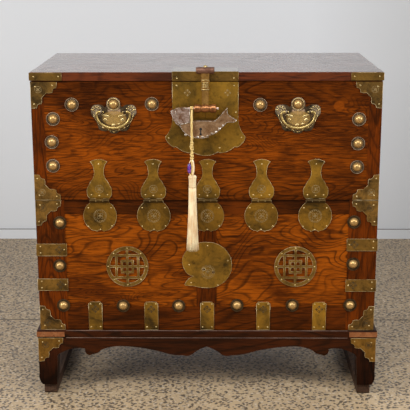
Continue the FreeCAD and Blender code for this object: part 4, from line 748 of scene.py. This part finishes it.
flap_nails = [(-0.076, 0.849), (0.0715, 0.849), (0.0755, 0.780), (-0.097, 0.713), (0.091, 0.715),
              (0.0345, 0.688), (-0.0765, 0.788), (-0.042, 0.690)]
chest_nails = [(0.0025, 0.4238), (-0.0461, 0.3711), (0.0566, 0.3829), (-0.0415, 0.3210), (0.0296, 0.3143)]
for x in HINGES:
    flap_nails += [(x, 0.645), (x - 0.021, 0.5625), (x + 0.021, 0.5625), (x, 0.5605)]
    chest_nails += [(x - 0.030, 0.5275), (x + 0.030, 0.5275), (x - 0.031, 0.477), (x + 0.031, 0.478),
                    (x, 0.4685)]
for side in (-1, 1):
    flap_nails += corner_nails(side, 0.8585, False) + corner_nails(side, 0.5492, True)
    chest_nails += corner_nails(side, 0.5468, False) + corner_nails(side, 0.1875, True)
for x in FOOT_STRAPS:
    chest_nails += [(x + side * 0.0125, z) for side in (-1, 1) for z in (0.195, 0.2605)]
for x in MEDALLIONS:
    chest_nails += [(x + 0.051 * cos, 0.366 + 0.051 * sin) for cos, sin in circle(8)]
for side, low in SIDE_STRAPS:
    chest_nails += [(side * 0.378, low), (side * 0.441, low + 0.009), (side * 0.441, low - 0.009)]

for piece, places, plane, body in (
        ("flap_nails", flap_nails, PLATE, "flap"),
        ("front_nails", chest_nails, PLATE, "chest"),
        ("strap_nails", [(-0.0745, 0.8675), (0.0706, 0.868), (-0.4405, 0.872), (0.4405, 0.872),
                         (-0.377, 0.872), (0.377, 0.872)], PLATE, "chest"),
        ("leg_nails", corner_nails(-1, 0.1655, False, 0.4565) + corner_nails(1, 0.1655, False, 0.4565),
         LEG_PLATE, "chest")):
    heap = Heap()
    for x, z in places:
        heap.dome((x, plane, z), 0.0021, 0.0012)
    heap.finish(piece, nail_metal, body)


# Chased ornament: rings of punched dots, petals and lozenges.
def rosette(heap, x, z, radius, plane, dots):
    """A chased ring with punched dots and a knot of four petals inside."""
    heap.tube(ring_line(x, z, radius, plane), 0.0006, 4, True)
    for at in ring_line(x, z, radius * 0.84, plane, dots):
        heap.dome(at, radius * 0.075, 0.0006, 6, 2)
    for step in range(4):
        turn = math.tau * (step + 0.5) / 4
        line = []
        for cos, sin in circle(12):
            out, side = radius * (0.36 + 0.26 * cos), radius * 0.17 * sin
            line.append((x + out * math.cos(turn) - side * math.sin(turn), plane,
                         z + out * math.sin(turn) + side * math.cos(turn)))
        heap.tube(line, 0.00065, 4, True)
    heap.dome((x, plane, z), radius * 0.10, 0.0007, 8, 2)


def lozenge(heap, x, z, size, plane, line=0.0009):
    """Two lozenges, one in the other, with a punched dot at each side."""
    for share in (1.0, 0.5):
        heap.tube([(x + size * share, plane, z), (x, plane, z + size * share),
                   (x - size * share, plane, z), (x, plane, z - size * share)], line, 4, True)
    for flip in (-1, 1):
        heap.dome((x + flip * size * 0.7, plane, z), size * 0.16, 0.0006, 6, 2)
        heap.dome((x, plane, z + flip * size * 0.7), size * 0.16, 0.0006, 6, 2)


chased = metal("chased_brass", (42, 32, 18), (110, 88, 50), (24, 18, 10), 0.5, 50.0, metallic=0.6,
               spread=0.9, bumps=0.1)
bright_chased = metal("bright_chased_brass", (112, 90, 52), (186, 160, 108), (48, 38, 22), 0.4, 90.0,
                      metallic=0.5, spread=0.8, bumps=0.1)
heap = Heap()
for x in HINGES:
    rosette(heap, x, 0.5055, 0.0170, PLATE, 18)
heap.tube(ring_line(0.0034, 0.3516, 0.0185, PLATE), 0.00045, 4, True)
rosette(heap, 0.0034, 0.3516, 0.0150, PLATE, 16)
heap.finish("disc_chasing", bright_chased, "chest")
heap = Heap()
for side in (-1, 1):
    rosette(heap, side * 0.430, 0.527, 0.0085, PLATE, 8)
    rosette(heap, side * 0.430, 0.207, 0.0085, PLATE, 8)
for x in FOOT_STRAPS:
    lozenge(heap, x, 0.246, 0.0100, PLATE)
for side, level in SIDE_STRAPS:
    lozenge(heap, side * 0.391, level, 0.0105, PLATE)
heap.finish("front_chasing", chased, "chest")
heap = Heap()
for x in HINGES:
    rosette(heap, x, 0.5780, 0.0105, PLATE, 10)
for side in (-1, 1):
    rosette(heap, side * 0.430, 0.839, 0.0085, PLATE, 8)
    rosette(heap, side * 0.430, 0.569, 0.0085, PLATE, 8)
heap.finish("flap_chasing", bright_chased, "flap")
heap = Heap()
for x in (-0.048, 0.0545):
    lozenge(heap, x, 0.8305, 0.0090, PLATE, 0.0006)
heap.finish("lock_chasing", bright_chased, "flap")
heap = Heap()
for side in (-1, 1):
    rosette(heap, side * 0.437, 0.146, 0.0085, LEG_PLATE, 8)
heap.finish("leg_chasing", chased, "chest")

# Scrolls and knobs of the handle plates.
SCROLL_X = 0.0445                            # middle of a scroll, across from the plate's middle
SCROLL_Z = 0.7865
EYE_Z = 0.8017                               # middle of the washer at the top of each plate
for side, x in HANDLES:
    heap = Heap()
    for flip in (-1, 1):
        line = []
        for step in range(19):
            turn = math.tau * 1.15 * step / 18
            size = 0.0085 * (1 - 0.75 * step / 18)
            line.append((x + flip * (SCROLL_X - size * math.cos(turn)), PLATE,
                         SCROLL_Z + size * math.sin(turn)))
        heap.tube(line, 0.0006, 5)
        heap.tube([(x + flip * 0.052, PLATE, 0.780), (x + flip * 0.047, PLATE, 0.762),
                   (x + flip * 0.036, PLATE, 0.745), (x + flip * 0.018, PLATE, 0.735),
                   (x, PLATE, 0.731)], 0.0006, 5)
        # Knobs of the lower edge, pale patches beside the bail, and dots round the scroll.
        heap.dome((x + flip * 0.0265, PLATE, 0.7415), 0.0034, 0.0034)
        heap.dome((x + flip * 0.0125, PLATE, 0.7355), 0.0030, 0.0030)
        heap.dome((x + flip * 0.0525, PLATE, SCROLL_Z), 0.0022, 0.0014)
        for part in range(5):
            heap.dome((x + flip * (0.0165 + 0.0030 * part), PLATE, 0.7690 + 0.0012 * part),
                      0.0042 - 0.0005 * part, 0.0009, 12)
        for turn in range(5):
            angle = math.radians(20 + 32 * turn)
            heap.dome((x + flip * (SCROLL_X + 0.0125 * math.cos(angle)), PLATE,
                       0.7835 + 0.0125 * math.sin(angle)), 0.0019, 0.0014, 8, 2)
    heap.dome((x, PLATE, 0.7295), 0.0022, 0.0014)
    for across, level, size in ((-0.0225, 0.7600, 0.0052), (0.0225, 0.7600, 0.0052),
                                (-0.0010, 0.7465, 0.0046), (0.0130, 0.7495, 0.0036)):
        heap.dome((x + across, PLATE, level), size, 0.0012, 14)
    heap.tube(ring_line(x, EYE_Z, 0.0150, PLATE - 0.0015), 0.0011, 6, True)
    heap.finish("handle_relief_" + side, nail_metal, "flap")
    heap = Heap()
    for flip in (-1, 1):
        for size in (0.0105, 0.0052):
            heap.tube(ring_line(x + flip * SCROLL_X, SCROLL_Z - 0.001, size, PLATE, 20)[:14], 0.0007, 4)
        heap.tube([(x + flip * 0.032, PLATE, 0.7905), (x + flip * 0.024, PLATE, 0.7880),
                   (x + flip * 0.016, PLATE, 0.7905), (x + flip * 0.010, PLATE, 0.7870)], 0.0008, 4)
        heap.tube([(x + flip * 0.046, PLATE, 0.7690), (x + flip * 0.041, PLATE, 0.7560),
                   (x + flip * 0.031, PLATE, 0.7465), (x + flip * 0.016, PLATE, 0.7405),
                   (x, PLATE, 0.7390)], 0.0009, 4)
    heap.finish("handle_grooves_" + side, chased, "flap")

# Brass cap that shows behind the hasp's barrel.
heap = Heap()
heap.lathe((LOCK_X, FRONT + 0.0345),
           [(0.0014, TOP + 0.0138), (0.0040, TOP + 0.0128), (0.0056, TOP + 0.0102), (0.0060, TOP + 0.0070),
            (0.0060, TOP + 0.0040)], 18)
heap.finish("strap_boss", nail_metal, "chest")

# The hasp's barrel swells in front, and beads ring its bar between the two collars.
heap = Heap()
SWELL = 0.0018
ANGLES = [math.radians(70 - 15 * step) for step in range(13)]
sections = []
for x, share in ((-0.0235, 0.0), (-0.0225, 0.55), (-0.0200, 0.9), (-0.0160, 1.0), (0.0160, 1.0),
                 (0.0200, 0.9), (0.0225, 0.55), (0.0235, 0.0)):
    outer = [(angle, 0.0070 + SWELL * share * (1 - math.sin(angle))) for angle in ANGLES]
    inner = [(angle, 0.0064) for angle in reversed(ANGLES)]
    sections.append([Vector((LOCK_X + x, HASP_Y - size * math.cos(angle), HASP_Z + size * math.sin(angle)))
                     for angle, size in outer + inner])
heap.skin(sections)
heap.finish("barrel_swell", barrel_metal, "hasp")
heap = Heap()
LEAN = Vector((0, ROD_Y - HASP_Y, ROD_Z - HASP_Z)).normalized()
THICK = Vector((0, -LEAN.z, LEAN.y)) * 0.0046
for below, wide, thick in ((0.0262, 0.0112, 0.0011), (0.0325, 0.0096, 0.0010), (0.0354, 0.0094, 0.0008),
                           (0.0382, 0.0096, 0.0012), (0.0411, 0.0094, 0.0008), (0.0440, 0.0096, 0.0010),
                           (0.0503, 0.0112, 0.0011)):
    middle = Vector((LOCK_X, HASP_Y, HASP_Z)) + LEAN * below
    side = Vector((wide - 0.0014, 0, 0))
    heap.tube([middle + side + THICK, middle + side - THICK, middle - side - THICK, middle - side + THICK],
              thick, 6, True)
heap.finish("hasp_beads", nail_metal, "hasp")


# Copper sleeves of the knuckles on the padlock's rod.
SLEEVE_IN = 0.0082                           # just inside the knuckles' own radius


def sleeve(heap, low, high, radius):
    """A swelled ring round a knuckle, open along the rod."""
    middle, half = (low + high) / 2, (high - low) / 2
    rings = []
    for cos, sin in circle(28):
        ring = []
        for share, size in ((-1.0, 0.0), (-1.0, 0.20), (-0.90, 0.66), (-0.58, 0.94), (0.0, 1.0),
                            (0.58, 0.94), (0.90, 0.66), (1.0, 0.20), (1.0, 0.0)):
            reach = SLEEVE_IN + (radius - SLEEVE_IN) * size
            ring.append(Vector((middle + half * share, ROD_Y + reach * cos, ROD_Z + reach * sin)))
        rings.append(ring)
    heap.skin(rings, True)


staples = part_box("lock_staples")
heap = Heap()
sleeve(heap, staples[0][0], LOCK_X - 0.0116, 0.0108)
sleeve(heap, LOCK_X + 0.0116, staples[1][0], 0.0108)
heap.finish("staple_sleeves", sleeve_copper, "flap")
heap = Heap()
sleeve(heap, LOCK_X - 0.0098, LOCK_X + 0.0098, 0.0099)
heap.finish("eye_sleeve", sleeve_copper, "hasp")

# Scallops along the padlock's belly, in silver that paints their highlights.
heap = Heap()
for x, below, size in ((-0.052, 0.0665, 0.0034), (-0.038, 0.0715, 0.0032), (-0.022, 0.0728, 0.0034),
                       (-0.009, 0.0725, 0.0036), (0.003, 0.0705, 0.0034), (0.014, 0.0640, 0.0034),
                       (0.025, 0.0590, 0.0032), (0.034, 0.0510, 0.0034), (0.043, 0.0425, 0.0030)):
    heap.dome((x, KEYHOLE.y, ROD_Z - below), size, 0.0013, 12)
heap.finish("padlock_scallops", painted_silver_highlight, "padlock")

# A dark patch in the keyhole: painted shade inside it.
keyhole_shade = metal("keyhole_dark", (16, 12, 10), (30, 24, 20), (8, 6, 5), 0.7, 60.0, metallic=0.2)
heap = Heap()
heap.dome(KEYHOLE + Vector((0, 0.0, 0.0062)), 0.0036, 0.0003, 16)
heap.skin([[KEYHOLE + Vector((side * wide, depth, up)) for side, wide, up in (
    (-1, 0.0014, 0.0062), (-1, 0.0018, -0.0040), (-1, 0.0036, -0.0100), (1, 0.0036, -0.0100),
    (1, 0.0018, -0.0040), (1, 0.0014, 0.0062))] for depth in (0.0004, -0.0003)])
heap.finish("keyhole_inside", keyhole_shade, "padlock")

# Cord, bead and tassel.
cord_points = [
    (-0.0368, FRONT - 0.0300, 0.7902),
    (-0.0368, FRONT - 0.0352, 0.777),
    (-0.0369, CORD_Y, 0.764),
    (-0.0367, CORD_Y, 0.700),
    (-0.0362, CORD_Y, 0.640),
    (-0.0356, CORD_Y, 0.617),
    (-0.0356, CORD_Y, 0.520),
    (-0.0356, CORD_Y, 0.432),
]
curve = bpy.data.curves.new("cord_line", "CURVE")
curve.dimensions = "3D"
spline = curve.splines.new("NURBS")
spline.points.add(len(cord_points) - 1)
for knot, at in zip(spline.points, cord_points):
    knot.co = (*at, 1.0)
spline.order_u = 3
spline.use_endpoint_u = True
curve.bevel_depth = 0.0030
curve.bevel_resolution = 4
cord = bpy.data.objects.new("hanging_cord", curve)
bpy.context.scene.collection.objects.link(cord)
curve.materials.append(silk_cord)
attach(cord, "shackle")
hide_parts("tassel_cord")

chance = random.Random(7)


def tilted_ring(at, radius, tilt, turn):
    """Points of a loop round the cord, tilted out of level and a little flat."""
    line = []
    for cos, sin in circle(18):
        x, y = radius * cos, radius * 0.8 * sin
        rise = math.tan(tilt) * (x * math.cos(turn) + y * math.sin(turn))
        line.append((at[0] + x, at[1] + y, at[2] + rise))
    return line


heap = Heap()
for z, wide, tall, loops in ((0.7195, 0.0078, 0.007, 2), (0.6995, 0.0100, 0.020, 5),
                             (0.6735, 0.0102, 0.017, 4)):
    for index in range(loops):
        at = (-0.0367, CORD_Y, z + tall * ((index + 0.5) / loops - 0.5))
        tilt = math.radians(chance.uniform(18, 34))
        turn = chance.uniform(0, math.tau)
        heap.tube(tilted_ring(at, wide / 2 - 0.0017, tilt, turn), 0.00175, 7, True)
knots = heap.finish("cord_knots", silk_cord, "shackle")

heap = Heap()
for index in range(4):
    x = -0.0368 + 0.0019 * (index - 1.5)
    ring = [(x, ROD_Y + 0.0044 * cos, ROD_Z + 0.0044 * sin) for cos, sin in circle(16)]
    heap.tube(ring, 0.00135, 7, True)
tie = heap.finish("cord_tie", silk_cord, "shackle")
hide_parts("tassel_tie")

# The bead hangs between two short loops at the left of the cord.
BEAD_X, BEAD_Z = -0.0433, 0.6413
profile = []
for step in range(13):
    angle = math.pi * step / 12
    profile.append((max(0.0006, 0.0052 * math.sin(angle) ** 0.8), BEAD_Z + 0.0135 * math.cos(angle)))
heap = Heap()
heap.lathe((BEAD_X, CORD_Y - 0.0012), profile, 20)
bead = heap.finish("glass_bead", bead_glass, "shackle")
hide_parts("tassel_bead")
heap = Heap()
heap.tube([(-0.0366, CORD_Y, 0.6665), (-0.0395, CORD_Y - 0.001, 0.6625), (-0.0425, CORD_Y - 0.0012, 0.6575),
           (BEAD_X, CORD_Y - 0.0012, 0.6540)], 0.0011, 6)
heap.tube([(BEAD_X, CORD_Y - 0.0012, 0.6285), (-0.0415, CORD_Y - 0.0012, 0.6250),
           (-0.0375, CORD_Y - 0.0005, 0.6215)], 0.0011, 6)
heap.tube([(-0.0364, CORD_Y - 0.001, 0.6660), (-0.0332, CORD_Y - 0.002, 0.6570),
           (-0.0318, CORD_Y - 0.002, 0.6450), (-0.0328, CORD_Y - 0.002, 0.6320),
           (-0.0352, CORD_Y - 0.001, 0.6210)], 0.0022, 7)
loops = heap.finish("bead_loops", silk_thread, "shackle")

# Tassel: ruff, bound neck and a skirt of loose threads.
head = (-0.0356, CORD_Y)
heap = Heap()
heap.lathe(head, [(0.0024, 0.6225), (0.0068, 0.6218), (0.0093, 0.6195), (0.0096, 0.6160), (0.0088, 0.6125),
                  (0.0084, 0.6080), (0.0085, 0.6000), (0.0089, 0.5940), (0.0096, 0.5900), (0.0098, 0.5700),
                  (0.0106, 0.5200), (0.0122, 0.4700), (0.0139, 0.4360), (0.0142, 0.4300), (0.0143, 0.4272),
                  (0.0136, 0.4262), (0.0050, 0.4256)],
           96, 32, 0.035)
for level in (0.5925, 0.5955, 0.6095, 0.6125):
    heap.tube([(head[0] + 0.0088 * cos, head[1] + 0.0088 * sin, level) for cos, sin in circle(24)],
              0.0009, 6, True)
for index in range(150):
    turn = math.tau * (index + chance.uniform(-0.4, 0.4)) / 150
    spread = chance.uniform(0.86, 1.06)
    low = chance.uniform(0.4215, 0.4300)
    sway = chance.uniform(-0.05, 0.05)
    line = []
    for step in range(9):
        part = step / 8
        z = 0.5905 + (low - 0.5905) * part
        radius = 0.0094 + (0.0154 * spread - 0.0094) * part ** 1.7
        angle = turn + sway * math.sin(part * 5 + index)
        line.append((head[0] + radius * math.cos(angle), head[1] + radius * math.sin(angle), z))
    heap.tube(line, 0.00052, 4)
for cos, sin in circle(40):
    line = [(head[0] + radius * cos, head[1] + radius * sin, z) for radius, z in (
        (0.0040, 0.6228), (0.0082, 0.6222), (0.0100, 0.6195), (0.0098, 0.6160), (0.0088, 0.6120),
        (0.0086, 0.6000), (0.0094, 0.5905))]
    heap.tube(line, 0.0006, 4)
tassel = heap.finish("silk_tassel", silk_thread, "shackle")
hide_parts("tassel")
